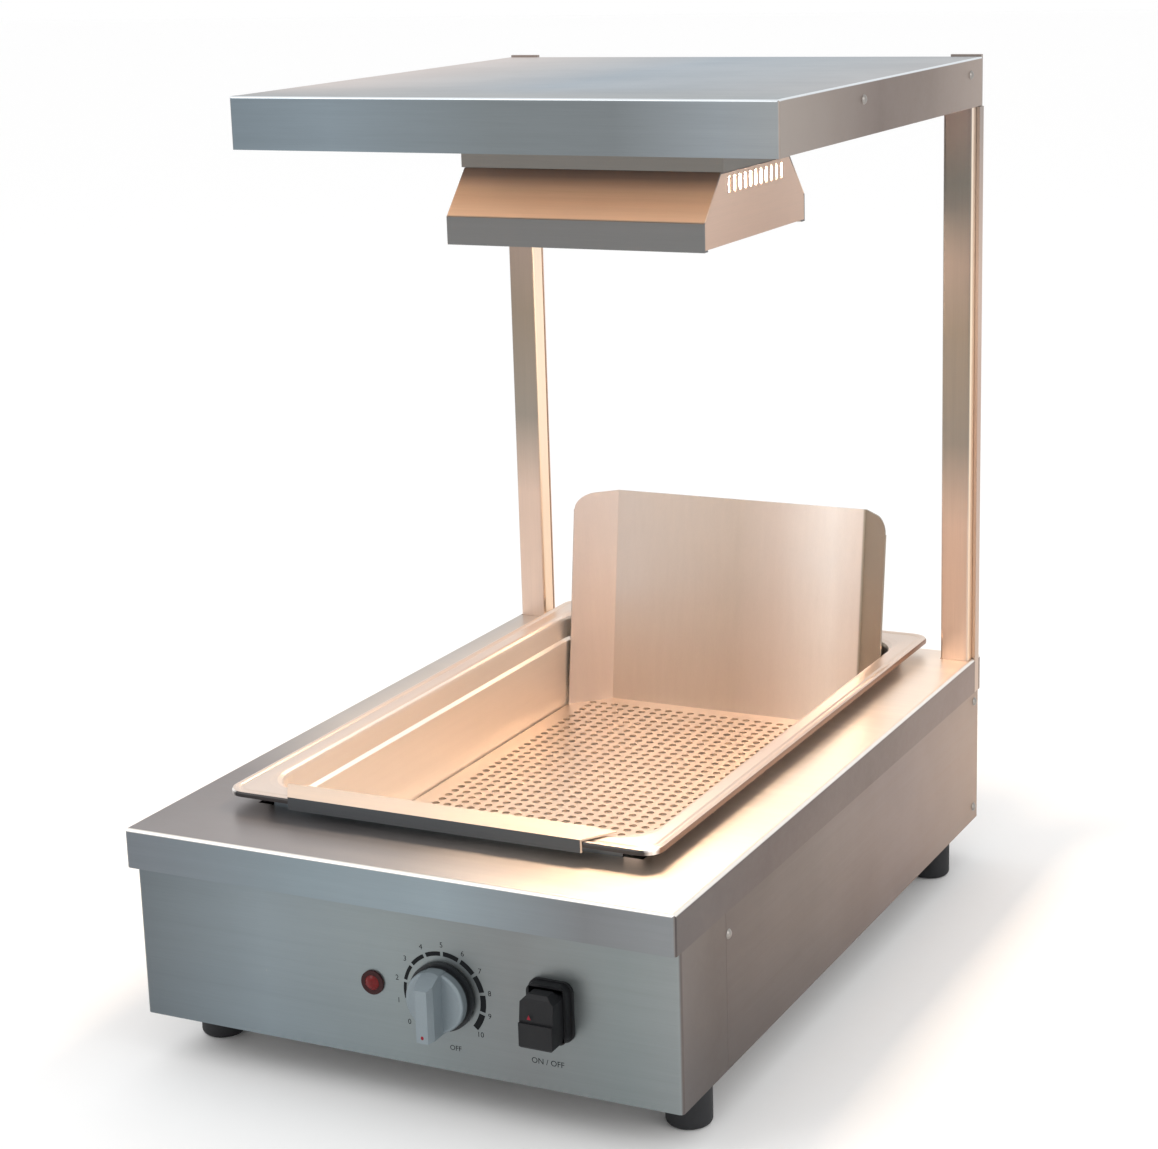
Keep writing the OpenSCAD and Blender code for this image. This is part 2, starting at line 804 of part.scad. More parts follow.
// Regulator body with its threaded bush through the front panel
module energy_regulator() {
    body_w = 40;
    body_d = 32;
    blade = [6.3, 9, 0.8];
    color(plastic_black) place() difference() {
        union() {
            box(
                [knob_x - body_w / 2, panel_back, knob_z - body_w / 2],
                [knob_x + body_w / 2, panel_back + body_d, knob_z + body_w / 2]
            );
            rod_y(knob_x, panel_y - bush_len, panel_back + 1, knob_z, bush_dia);
            for (x = [-12, 6], z = [-10, 10])
                translate([knob_x + x, panel_back + body_d - 1, knob_z + z]) cube(blade);
        }
        rod_y(knob_x, panel_y - bush_len - 1, panel_back + body_d - 6, knob_z, shaft_dia + 2 * hole_fit);
    }
}

module regulator_shaft() {
    tip = panel_y - knob_body_h - 6;
    color(steel) place() difference() {
        rod_y(knob_x, tip, panel_back + 20, knob_z, shaft_dia);
        box(
            [knob_x - shaft_dia, tip - 1, knob_z + shaft_dia / 2 - 1.4],
            [knob_x + shaft_dia, tip + 9, knob_z + shaft_dia]
        );
    }
}

module regulator_nut() {
    color(steel) place() difference() {
        translate([knob_x, panel_y - nut_t, knob_z]) rotate([-90, 0, 0]) cylinder(d = 16, h = nut_t, $fn = 6);
        rod_y(knob_x, panel_y - nut_t - 1, panel_y + 1, knob_z, bush_dia + 2 * hole_fit);
    }
}

// Knob with a skirt, a round body and a raised grip bar
module knob() {
    tip = panel_y - knob_body_h - 6;
    body_r = knob_dia / 2 - 2.2;
    grip_top = grip_w * 0.68;
    color(plastic_silver) place() translate([knob_x, 0, knob_z]) difference() {
        union() {
            translate([0, panel_y - knob_gap - 3, 0]) rotate([-90, 0, 0]) cylinder(d = knob_dia, h = 3);
            translate([0, panel_y - knob_gap - 3, 0]) rotate([90, 0, 0]) rotate_extrude() {
                square([body_r - 2, knob_body_h - knob_gap - 3]);
                square([body_r, knob_body_h - knob_gap - 5]);
                translate([body_r - 2, knob_body_h - knob_gap - 5]) circle(2);
            }
            intersection() {
                rod_y(0, panel_y - knob_h, panel_y - 4, 0, 2 * body_r + 0.8);
                translate([0, 0, -knob_dia]) linear_extrude(2 * knob_dia) polygon([
                    [-grip_w / 2, panel_y - 4], [-grip_w / 2, panel_y - knob_h + 5],
                    [-grip_top / 2, panel_y - knob_h], [grip_top / 2, panel_y - knob_h],
                    [grip_w / 2, panel_y - knob_h + 5], [grip_w / 2, panel_y - 4]
                ]);
                along_x(-knob_dia, knob_dia) polygon([
                    [panel_y - 3, -knob_dia], [panel_y - knob_h - 1, -knob_dia],
                    [panel_y - knob_h - 1, body_r - 7], [panel_y - knob_body_h, body_r + 1],
                    [panel_y - 3, body_r + 1]
                ]);
            }
        }
        rod_y(0, panel_y - 8, panel_y, 0, 32);
        difference() {
            rod_y(0, tip - 0.2, panel_y, 0, shaft_dia + 2 * hole_fit);
            box(
                [-shaft_dia, tip - 1, shaft_dia / 2 - 1.4 + hole_fit],
                [shaft_dia, tip + 9 - hole_fit, shaft_dia]
            );
        }
    }
}

module indicator_housing() {
    barrel = lamp_dia - 4;
    color(plastic_black) place() difference() {
        union() {
            rod_y(-lamp_x, panel_y - 1.6, panel_y, lamp_z, lamp_dia);
            rod_y(-lamp_x, panel_y - eps, panel_back + 22, lamp_z, barrel);
            for (x = [-3, 3]) box(
                [-lamp_x + x - 0.4, panel_back + 21, lamp_z - 2.4],
                [-lamp_x + x + 0.4, panel_back + 29, lamp_z + 2.4]
            );
        }
        rod_y(-lamp_x, panel_y - 3, panel_back + 12, lamp_z, barrel - 2);
    }
}

// Domed lens seated in the indicator's housing
module indicator_lens() {
    r = (lamp_dia - 6) / 2 - hole_fit;
    color(lens_red) place() translate([-lamp_x, panel_y - 1.6, lamp_z]) rotate([90, 0, 0])
        rotate_extrude() {
            translate([0, -8]) square([r, 8 + eps]);
            intersection() {
                square([r, r]);
                translate([0, -r * 0.9]) circle(r * 1.35);
            }
        }
}

// Housing with a raised collar around the rocker and a snap-in body behind
module switch_housing() {
    color(plastic_black) place() difference() {
        union() {
            translate([switch_x, panel_y, switch_z]) rotate([90, 0, 0]) linear_extrude(2)
                rounded_rect([-switch_w / 2, -switch_h / 2], [switch_w / 2, switch_h / 2], switch_r);
            translate([switch_x, panel_y, switch_z]) rotate([90, 0, 0])
                linear_extrude(panel_y - bezel_front)
                    rounded_rect(
                        [-rocker_w / 2 - 2.2, -rocker_h / 2 - 2.2],
                        [rocker_w / 2 + 2.2, rocker_h / 2 + 2.2], switch_r - 1
                    );
            box(
                [switch_x - switch_in_w / 2, panel_y - eps, switch_z - switch_in_h / 2],
                [switch_x + switch_in_w / 2, panel_back + 24, switch_z + switch_in_h / 2]
            );
            for (z = [-9, 0, 9]) box(
                [switch_x - 3, panel_back + 23, switch_z + z - 0.4],
                [switch_x + 3, panel_back + 31, switch_z + z + 0.4]
            );
        }
        box(
            [switch_x - rocker_w / 2 - clear, bezel_front - 1, switch_z - rocker_h / 2 - clear],
            [switch_x + rocker_w / 2 + clear, panel_back + 8, switch_z + rocker_h / 2 + clear]
        );
        rod_x(
            switch_x - rocker_w / 2 - 1.6, switch_x + rocker_w / 2 + 1.6,
            rocker_pivot_y, switch_z, 3 + 2 * hole_fit
        );
    }
}

// Rocker in its off position: the lower half stands proud of the upper half
module rocker() {
    front = panel_y - rocker_reach;
    half = rocker_h / 2;
    shoulder = bezel_front - 2.6;
    throat = half - 2.6;
    cut = 5;
    color(plastic_black) place() union() {
        intersection() {
            along_x(switch_x - rocker_w / 2, switch_x + rocker_w / 2) polygon([
                [front + 0.8, switch_z - half], [front, switch_z - half + 1.2],
                [front, switch_z - 0.8], [front + 1.6, switch_z - 0.8],
                [front + 1.6, switch_z + 1], [front + 3.4, switch_z + half - 2.5],
                [front + 5.4, switch_z + half],
                [shoulder, switch_z + half], [shoulder + 1, switch_z + throat],
                [panel_y + 2, switch_z + throat - 3], [panel_y + 2, switch_z - throat + 3],
                [shoulder + 1, switch_z - throat], [shoulder, switch_z - half]
            ]);
            translate([switch_x, panel_y + 40, 0]) rotate([90, 0, 0]) linear_extrude(100) polygon([
                [-rocker_w / 2, switch_z - half + 1], [-rocker_w / 2 + 1, switch_z - half],
                [rocker_w / 2 - 1, switch_z - half], [rocker_w / 2, switch_z - half + 1],
                [rocker_w / 2, switch_z + half - cut], [rocker_w / 2 - cut, switch_z + half],
                [-rocker_w / 2 + cut, switch_z + half], [-rocker_w / 2, switch_z + half - cut]
            ]);
        }
        rod_x(
            switch_x - rocker_w / 2 - 1.3, switch_x + rocker_w / 2 + 1.3,
            rocker_pivot_y, switch_z, 3
        );
    }
}

module terminal_block() {
    x0 = -well_x + 10;
    y0 = well_rear - 60;
    pitch = 12;
    size = [16, 3 * pitch + 4, 16];
    color(ceramic) place() translate([x0, y0, tray_top]) difference() {
        cube(size);
        for (i = [0:2]) {
            translate([-1, 8 + i * pitch, 7]) rotate([0, 90, 0]) cylinder(d = 4, h = size[0] + 2);
            for (x = [4, 12]) translate([x, 8 + i * pitch, 7]) cylinder(d = 3.4, h = 10);
        }
    }
}

// Cable gland body: hexagon outside, thread through the rear panel
module cable_gland() {
    color(plastic_black) place() difference() {
        union() {
            rod_y(gland_x, rear_y - gland_in, rear_y + 15, gland_z, gland_thread);
            translate([gland_x, rear_y, gland_z]) rotate([-90, 0, 0]) cylinder(d = 27, h = 6, $fn = 6);
        }
        rod_y(gland_x, rear_y - 15, rear_y + 16, gland_z, gland_bore);
    }
}

module gland_cap() {
    color(plastic_black) place() difference() {
        translate([gland_x, rear_y + 6 + clear, gland_z]) rotate([-90, 0, 0]) rotate_extrude() {
            square([13, gland_out - 8 - clear]);
            square([10, gland_out - 6 - clear]);
            translate([0, gland_out - 10 - clear]) square([12, 3]);
        }
        rod_y(gland_x, rear_y, rear_y + 15 + clear, gland_z, gland_thread + 2 * hole_fit);
        rod_y(gland_x, rear_y, rear_y + gland_out + 1, gland_z, gland_bore);
    }
}

module gland_nut() {
    color(plastic_black) place() difference() {
        translate([gland_x, rear_y - sheet - 5, gland_z]) rotate([-90, 0, 0])
            cylinder(d = 27, h = 5, $fn = 6);
        rod_y(gland_x, rear_y - sheet - 6, rear_y, gland_z, gland_thread + 2 * hole_fit);
    }
}

// Rectangular tube from the base tray up into the canopy
module post(s) {
    top = canopy_top - sheet - clear;
    color(warm_steel) place() on_side(s) difference() {
        translate([0, 0, tray_top + seam]) linear_extrude(top - tray_top - seam)
            rounded_rect([post_x, post_front], [inner_x, tube_rear], post_r);
        translate([0, 0, tray_top - 1]) linear_extrude(top - tray_top + 2)
            rounded_rect(
                [post_x + sheet, post_front + sheet], [inner_x - sheet, tube_rear - sheet],
                post_r - sheet
            );
        screw_holes_x(inner_x - 5, inner_x + 1, [side_places()[1], side_places()[2]]);
        for (z = bracket_places()) rod_y(post_mid, tube_rear - 3, tube_rear + 1, z, screw_dia + 2 * hole_fit);
    }
}
module post_left() { post(-1); }
module post_right() { post(1); }

// Angle strip over the rear and the outer side of a post
module post_cover(s) {
    low = cover_top + clear;
    high = canopy_z - clear;
    color(steel) place() on_side(s) difference() {
        union() {
            box([post_x, post_rear - sheet, low], [half_w, post_rear, high]);
            box([inner_x + seam, post_rear - strip_d, low], [half_w, post_rear, high]);
            box([half_w - sheet, post_rear - strip_d, cover_top - skirt_h], [half_w, post_rear, high]);
        }
        for (z = bracket_places()) if (z < high - screw_dia)
            rod_y(post_mid, post_rear - 3, post_rear + 1, z, screw_dia + 2 * hole_fit);
    }
}
module post_cover_left() { post_cover(-1); }
module post_cover_right() { post_cover(1); }

module post_bracket(s) {
    color(steel) place() on_side(s) difference() {
        box(
            [post_mid - bracket_w / 2, post_rear, bracket_z],
            [post_mid + bracket_w / 2, post_rear + bracket_t, bracket_top]
        );
        for (z = bracket_places())
            rod_y(post_mid, post_rear - 1, post_rear + bracket_t + 1, z, screw_dia + 2 * hole_fit);
    }
}
module post_bracket_left() { post_bracket(-1); }
module post_bracket_right() { post_bracket(1); }

// Shallow open box; the front skirt wraps round onto the sides
module canopy() {
    tab_r = 10;
    color(steel) place() difference() {
        union() {
            difference() {
                union() {
                    folded_box(
                        [-canopy_side, canopy_front, canopy_z],
                        [canopy_side, post_rear, canopy_top], edge_r
                    );
                    intersection() {
                        folded_box(
                            [-half_w, canopy_front, canopy_z],
                            [half_w, post_rear, canopy_top], edge_r
                        );
                        along_x(-half_w, half_w) {
                            translate([canopy_front, canopy_z]) square([tab_len, canopy_skirt - tab_r]);
                            translate([canopy_front, canopy_z]) square([tab_len - tab_r, canopy_skirt]);
                            translate([canopy_front + tab_len - tab_r, canopy_top - tab_r]) circle(tab_r);
                        }
                    }
                }
                folded_box(
                    [-canopy_side + sheet, canopy_front + sheet, canopy_z - 1],
                    [canopy_side - sheet, post_rear - sheet, canopy_top - sheet], edge_r - sheet
                );
            }
        }
        for (s = [-1, 1]) on_side(s) {
            screw_holes_x(canopy_side - 5, canopy_side + 1, canopy_places());
            for (z = bracket_places()) if (z > canopy_z + screw_dia)
                rod_y(post_mid, post_rear - 5, post_rear + 1, z, screw_dia + 2 * hole_fit);
        }
    }
}

// Underside of the canopy, an upturned tray notched round the posts
module canopy_inner_panel() {
    front = canopy_front + sheet + seam;
    back = post_rear - sheet - seam;
    high = canopy_screw_z + 7;
    color(steel) place() difference() {
        translate([0, 0, inner_z]) linear_extrude(high - inner_z)
            rounded_rect([-liner_x, front], [liner_x, back], edge_r);
        translate([0, 0, inner_z + sheet]) linear_extrude(high - inner_z)
            rounded_rect([-liner_x + sheet, front + sheet], [liner_x - sheet, back - sheet], edge_r - sheet);
        for (s = [-1, 1]) on_side(s) {
            box([post_x - clear, post_front - clear, inner_z - 1], [liner_x + 1, back + 1, high + 1]);
            screw_holes_x(liner_x - 5, liner_x + 1, canopy_places());
        }
        for (p = neck_places()) rod_z(p[0], p[1], inner_z - 1, inner_z + 5, screw_dia + 2 * hole_fit);
        rod_z(0, hood_mid, inner_z - 1, inner_z + 5, wire_hole);
    }
}

// Open box between the hood and the canopy with flanges turned in
module heater_neck() {
    y0 = hood_mid - hood_top_d / 2;
    y1 = hood_mid + hood_top_d / 2;
    fold = neck_fold;
    low = hood_top + seam;
    high = inner_z - seam;
    color(steel) place() difference() {
        box([-neck_x, y0, low], [neck_x, y1, high]);
        box(
            [-neck_x + sheet, y0 + sheet, low + sheet],
            [neck_x - sheet, y1 - sheet, high - sheet]
        );
        box([-neck_x + fold, y0 + fold, low - 1], [neck_x - fold, y1 - fold, high + 1]);
        for (p = neck_places()) rod_z(p[0], p[1], low - 1, high + 1, screw_dia + 2 * hole_fit);
    }
}

// Outer outline of the hood, as [y, z], from the rear over the top to the front
function hood_outline() = [
    [hood_rear, hood_z], [hood_rear, band_top], [top_rear, hood_top],
    [top_front, hood_top], [hood_front, band_top], [hood_front, hood_z]
];

module hood_shell() {
    hem = 6;
    wrap = concat([[hood_rear - hem, hood_z]], hood_outline(), [[hood_front + hem, hood_z]]);
    color(warm_steel) place() difference() {
        along_x(-hood_x, hood_x) sheet_section(wrap, sheet);
        for (p = neck_places()) rod_z(p[0], p[1], hood_top - 5, hood_top + 1, screw_dia + 2 * hole_fit);
        rod_z(0, hood_mid, hood_top - 5, hood_top + 1, wire_hole);
    }
}

// End plate inside the shell, with a row of vent slots under its top edge
module hood_end(s) {
    inside = moved(hood_outline(), sheet + seam);
    first = hood_mid - slot_pitch * (slots - 1) / 2;
    slot_z = hood_top - sheet - 2.5 - slot_h;
    color(warm_steel) place() on_side(s) along_x(end_x, hood_x) difference() {
        intersection() {
            polygon(inside);
            translate([hood_front, hood_z + sheet + seam]) square([hood_d, hood_h]);
        }
        for (i = [0:slots - 1]) translate([first + i * slot_pitch, slot_z]) {
            translate([-slot_w / 2, slot_w / 2]) square([slot_w, slot_h - slot_w]);
            for (z = [slot_w / 2, slot_h - slot_w / 2]) translate([0, z]) circle(d = slot_w);
        }
    }
}
module hood_end_left() { hood_end(-1); }
module hood_end_right() { hood_end(1); }

// Bright trough above the heat tubes, with lips against the hood's bands
module reflector() {
    bright = 0.8;
    off = sheet + seam;
    lift = 7;
    path = [
        [hood_rear - off, hood_z + 6], [hood_rear - off, band_top - 2],
        [top_rear - off, hood_top - lift], [top_front + off, hood_top - lift],
        [hood_front + off, band_top - 2], [hood_front + off, hood_z + 6]
    ];
    color(aluminium) place() along_x(-holder_x + clear, holder_x - clear) sheet_section(path, bright);
}

module heat_tube(y) {
    color(quartz) place() rod_x(-holder_x + 4, holder_x - 4, y, tube_z, tube_dia);
}
module heat_tube_front() { heat_tube(hood_mid - tube_gap / 2); }
module heat_tube_rear() { heat_tube(hood_mid + tube_gap / 2); }

// Ceramic caps on the ends of the heat tubes
module tube_ceramics() {
    color(ceramic) place() for (s = [-1, 1]) on_side(s)
        for (y = [hood_mid - tube_gap / 2, hood_mid + tube_gap / 2]) difference() {
            union() {
                rod_x(holder_x - 12, end_x - clear, y, tube_z, tube_dia + 4);
                rod_x(holder_x - 12, holder_x - seam, y, tube_z, tube_dia + 8);
            }
            rod_x(holder_x - 13, holder_x - 4 + hole_fit, y, tube_z, tube_dia + 2 * hole_fit);
        }
}

// Plate that carries the tube ends, between the hood's bands
module tube_holder(s) {
    off = sheet + seam;
    path = [
        [hood_rear - off, hood_z + 8], [hood_rear - off, band_top - 2],
        [top_rear - off, hood_top - 9], [top_front + off, hood_top - 9],
        [hood_front + off, band_top - 2], [hood_front + off, hood_z + 8]
    ];
    color(steel) place() on_side(s) difference() {
        along_x(holder_x, holder_x + sheet) polygon(path);
        for (y = [hood_mid - tube_gap / 2, hood_mid + tube_gap / 2])
            rod_x(holder_x - 1, holder_x + 3, y, tube_z, tube_dia + 4 + 2 * hole_fit);
    }
}
module tube_holder_left() { tube_holder(-1); }
module tube_holder_right() { tube_holder(1); }

// Wire guard across the hood's mouth, resting on the hems
module lamp_guard() {
    low = hood_z + sheet + clear + guard_wire / 2;
    reach = hood_d / 2 - sheet - clear;
    first = hood_mid - reach + 8;
    span = 2 * (reach - 8) / (guard_wires - 1);
    color(steel) place() {
        for (s = [-1, 1]) rod_y(s * (end_x - 14), hood_mid - reach, hood_mid + reach, low, guard_wire);
        for (i = [0:guard_wires - 1])
            rod_x(-end_x + clear, end_x - clear, first + i * span, low + guard_wire * 0.8, guard_wire);
    }
}

module side_screws() {
    len = sheet * 2 + seam + 3;
    color(steel) place() for (s = [-1, 1]) on_side(s) for (p = side_places())
        translate([side_x, p[0], p[1]]) rotate([0, 90, 0]) screw(len);
}

module canopy_screws() {
    len = sheet * 2 + seam + 3;
    color(steel) place() for (s = [-1, 1]) on_side(s) for (p = canopy_places())
        translate([canopy_side, p[0], p[1]]) rotate([0, 90, 0]) screw(len);
}

module bracket_screws() {
    len = bracket_t + sheet * 2 + seam + 3;
    color(steel) place() for (s = [-1, 1]) on_side(s) for (z = bracket_places())
        translate([post_mid, post_rear + bracket_t, z]) rotate([-90, 0, 0]) screw(len);
}

module rear_screws() {
    color(steel) place() for (s = [-1, 1]) on_side(s) for (p = rear_places())
        translate([p[0], rear_y, p[1]]) rotate([-90, 0, 0]) screw(3.2);
}

module neck_screws() {
    color(steel) place() for (p = neck_places())
        translate([p[0], p[1], inner_z - seam - sheet]) rotate([180, 0, 0]) screw(2 * sheet + seam + 3);
}

module hood_screws() {
    color(steel) place() for (p = neck_places())
        translate([p[0], p[1], hood_top - sheet]) rotate([180, 0, 0]) screw(2 * sheet + seam + 3);
}

top_cover();
front_panel();
side_panel_left();
side_panel_right();
rear_panel();
base_tray();
foot_front_left();
foot_front_right();
foot_rear_left();
foot_rear_right();
foot_screws();
pan();
insert_floor();
insert_hook();
insert_legs();
back_deflector();
heater_well();
base_element();
element_saddles();
energy_regulator();
regulator_shaft();
regulator_nut();
knob();
indicator_housing();
indicator_lens();
switch_housing();
rocker();
terminal_block();
cable_gland();
gland_cap();
gland_nut();
post_left();
post_right();
post_cover_left();
post_cover_right();
post_bracket_left();
post_bracket_right();
canopy();
canopy_inner_panel();
heater_neck();
hood_shell();
hood_end_left();
hood_end_right();
reflector();
heat_tube_front();
heat_tube_rear();
tube_ceramics();
tube_holder_left();
tube_holder_right();
lamp_guard();
side_screws();
canopy_screws();
bracket_screws();
rear_screws();
neck_screws();
hood_screws();
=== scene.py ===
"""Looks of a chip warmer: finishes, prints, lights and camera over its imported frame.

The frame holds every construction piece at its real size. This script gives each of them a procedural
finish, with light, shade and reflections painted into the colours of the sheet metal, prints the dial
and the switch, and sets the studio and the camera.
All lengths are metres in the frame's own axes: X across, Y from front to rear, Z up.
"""

from __future__ import annotations

import logging
import math
from dataclasses import dataclass
from enum import Enum

import bpy
import numpy as np
from mathutils import Matrix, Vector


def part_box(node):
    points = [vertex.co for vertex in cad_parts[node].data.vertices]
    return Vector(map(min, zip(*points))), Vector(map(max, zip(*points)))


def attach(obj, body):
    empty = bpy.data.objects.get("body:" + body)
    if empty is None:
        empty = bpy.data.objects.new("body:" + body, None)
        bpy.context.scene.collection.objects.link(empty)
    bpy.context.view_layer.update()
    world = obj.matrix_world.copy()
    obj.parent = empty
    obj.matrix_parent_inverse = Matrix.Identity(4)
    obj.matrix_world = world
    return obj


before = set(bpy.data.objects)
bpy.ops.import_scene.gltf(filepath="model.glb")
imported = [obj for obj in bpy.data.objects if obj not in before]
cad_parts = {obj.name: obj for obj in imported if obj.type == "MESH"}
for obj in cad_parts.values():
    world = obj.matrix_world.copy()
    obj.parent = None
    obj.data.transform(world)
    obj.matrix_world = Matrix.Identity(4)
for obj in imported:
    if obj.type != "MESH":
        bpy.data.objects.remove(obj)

LOG = logging.getLogger("chip_warmer")

Vec = tuple[float, float, float]
Colour = tuple[float, float, float]
Stop = tuple[float, Colour]
Part = tuple[np.ndarray, np.ndarray]
Socket = bpy.types.NodeSocket

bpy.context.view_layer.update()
MM = 0.001

SRGB_BREAK = 0.04045
SRGB_OFFSET = 0.055
SRGB_POWER = 2.4
SRGB_SLOPE = 12.92
DIAGONAL = 0.7071


def srgb(red: int, green: int, blue: int) -> Colour:
    """Turn display values from 0 to 255 into the linear colour that shaders take.

    Args:
        red: Display red.
        green: Display green.
        blue: Display blue.

    Returns:
        The linear colour.
    """
    def linear(value: int) -> float:
        """Undo the display curve of one channel."""
        v = value / 255
        if v <= SRGB_BREAK:
            return v / SRGB_SLOPE
        return ((v + SRGB_OFFSET) / (1 + SRGB_OFFSET)) ** SRGB_POWER

    return (linear(red), linear(green), linear(blue))


class Axis(Enum):
    """Directions of the object as unit vectors, with those that its folded edges look along."""

    X = (1.0, 0.0, 0.0)
    Y = (0.0, 1.0, 0.0)
    Z = (0.0, 0.0, 1.0)
    MINUS_X = (-1.0, 0.0, 0.0)
    MINUS_Y = (0.0, -1.0, 0.0)
    MINUS_Z = (0.0, 0.0, -1.0)
    FRONT_FOLD = (0.0, -DIAGONAL, DIAGONAL)
    RIGHT_FOLD = (DIAGONAL, 0.0, DIAGONAL)
    LEFT_FOLD = (-DIAGONAL, 0.0, DIAGONAL)


class Grain(Enum):
    """Way in which a sheet was brushed, as repeats per metre along X, Y and Z."""

    ALONG_X = (14.0, 900.0, 900.0)
    ALONG_Y = (900.0, 14.0, 900.0)
    ALONG_Z = (900.0, 900.0, 14.0)


@dataclass(frozen=True)
class Ramp:
    """A colour that changes along one direction of the object."""

    axis: Axis
    start: float
    end: float
    stops: tuple[Stop, ...]


@dataclass(frozen=True)
class Patch:
    """A ramp that holds on faces that look along an axis, past a soft limit along an axis, or both; here it
    paints light and shade.

    The mask of the faces rises over spread, in cosines. The mask past a limit rises between its two places.
    """

    ramp: Ramp
    facing: Axis | None = None
    past: tuple[Axis, float, float] | None = None
    spread: tuple[float, float] = (0.5, 0.82)


def plain(colour: Colour) -> Ramp:
    """A ramp of one colour."""
    return Ramp(Axis.X, -1.0, 1.0, ((0.0, colour), (1.0, colour)))


def tones(axis: Axis, start: float, end: float, *stops: tuple[float, int, int, int]) -> Ramp:
    """A ramp from display values.

    Args:
        axis: Direction along which it changes.
        start: Where it begins, in metres.
        end: Where it ends, in metres.
        stops: Place from 0 to 1, then red, green and blue from 0 to 255.

    Returns:
        The ramp.
    """
    return Ramp(axis, start, end, tuple((place, srgb(*rgb)) for place, *rgb in stops))


class Groups:
    """Shader node groups that several finishes share, each built once."""

    @staticmethod
    def _start(name: str, inputs: dict[str, str], outputs: tuple[str, ...]) -> tuple:
        """Make an empty group with named sockets.

        Args:
            name: Name of the group.
            inputs: Kind of each input socket, Vector or Float, by its name.
            outputs: Names of the output sockets, all of kind Float.

        Returns:
            The group, the outputs of its input node and the inputs of its output node.
        """
        group = bpy.data.node_groups.new(name, "ShaderNodeTree")
        for label, kind in inputs.items():
            group.interface.new_socket(label, in_out="INPUT", socket_type=f"NodeSocket{kind}")
        for label in outputs:
            group.interface.new_socket(label, in_out="OUTPUT", socket_type="NodeSocketFloat")
        inside = group.nodes.new("NodeGroupInput")
        outside = group.nodes.new("NodeGroupOutput")
        return group, inside.outputs, outside.inputs

    @staticmethod
    def _math(group: bpy.types.NodeTree, operation: str, first: Socket, second: Socket | float) -> Socket:
        """Place a calculation on two values, of which the second may be a number, and return its socket."""
        node = group.nodes.new("ShaderNodeMath")
        node.operation = operation
        group.links.new(first, node.inputs[0])
        if isinstance(second, float):
            node.inputs[1].default_value = second
        else:
            group.links.new(second, node.inputs[1])
        return node.outputs["Value"]

    @staticmethod
    def _noise(
        group: bpy.types.NodeTree, vector: Socket, detail: float, scale: Socket | float
    ) -> bpy.types.Node:
        """Place a noise on a vector, with a scale that is a number or a socket, and return its node."""
        node = group.nodes.new("ShaderNodeTexNoise")
        node.inputs["Detail"].default_value = detail
        group.links.new(vector, node.inputs["Vector"])
        if isinstance(scale, float):
            node.inputs["Scale"].default_value = scale
        else:
            group.links.new(scale, node.inputs["Scale"])
        return node

    @classmethod
    def _between(cls, name: str, output: str) -> bpy.types.NodeTree:
        """Place of a vector along a direction, from 0 to 1: (V . D - Start) / (End - Start).

        Args:
            name: Name of the group.
            output: Name of its output.

        Returns:
            The group.
        """
        if name in bpy.data.node_groups:
            return bpy.data.node_groups[name]
        inputs = {"Vector": "Vector", "Direction": "Vector", "Start": "Float", "End": "Float"}
        group, given, result = cls._start(name, inputs, (output,))
        dot = group.nodes.new("ShaderNodeVectorMath")
        dot.operation = "DOT_PRODUCT"
        span = group.nodes.new("ShaderNodeMapRange")
        group.links.new(given["Vector"], dot.inputs[0])
        group.links.new(given["Direction"], dot.inputs[1])
        group.links.new(dot.outputs["Value"], span.inputs["Value"])
        group.links.new(given["Start"], span.inputs["From Min"])
        group.links.new(given["End"], span.inputs["From Max"])
        group.links.new(span.outputs["Result"], result[output])
        return group

    @classmethod
    def along(cls) -> bpy.types.NodeTree:
        """Position of a point between two planes: (P . D - Start) / (End - Start), from 0 to 1."""
        return cls._between("Along", "Factor")

    @classmethod
    def facing(cls) -> bpy.types.NodeTree:
        """Mask of the faces that look along a direction: (N . D - Start) / (End - Start), from 0 to 1."""
        return cls._between("Facing", "Mask")

    @classmethod
    def brushed(cls) -> bpy.types.NodeTree:
        """Brushed grain: fine lines and broad streaks of noise, stretched along the grain.

        Shade = 1 + Contrast * (fine + broad - 1), Height = fine, Roughness = 0.9 * (Shade - 1).
        """
        if "Brushed Grain" in bpy.data.node_groups:
            return bpy.data.node_groups["Brushed Grain"]
        group, given, result = cls._start(
            "Brushed Grain",
            {"Vector": "Vector", "Repeats": "Vector", "Contrast": "Float"},
            ("Shade", "Height", "Roughness"),
        )
        stretch = group.nodes.new("ShaderNodeVectorMath")
        stretch.operation = "MULTIPLY"
        group.links.new(given["Vector"], stretch.inputs[0])
        group.links.new(given["Repeats"], stretch.inputs[1])
        fine = cls._noise(group, stretch.outputs["Vector"], detail=3.0, scale=2.4).outputs["Fac"]
        broad = cls._noise(group, stretch.outputs["Vector"], detail=4.0, scale=0.22).outputs["Fac"]
        both = cls._math(group, "ADD", fine, broad)
        centred = cls._math(group, "SUBTRACT", both, 1.0)
        scaled = cls._math(group, "MULTIPLY", centred, given["Contrast"])
        group.links.new(cls._math(group, "ADD", scaled, 1.0), result["Shade"])
        group.links.new(fine, result["Height"])
        group.links.new(cls._math(group, "MULTIPLY", scaled, 0.9), result["Roughness"])
        return group

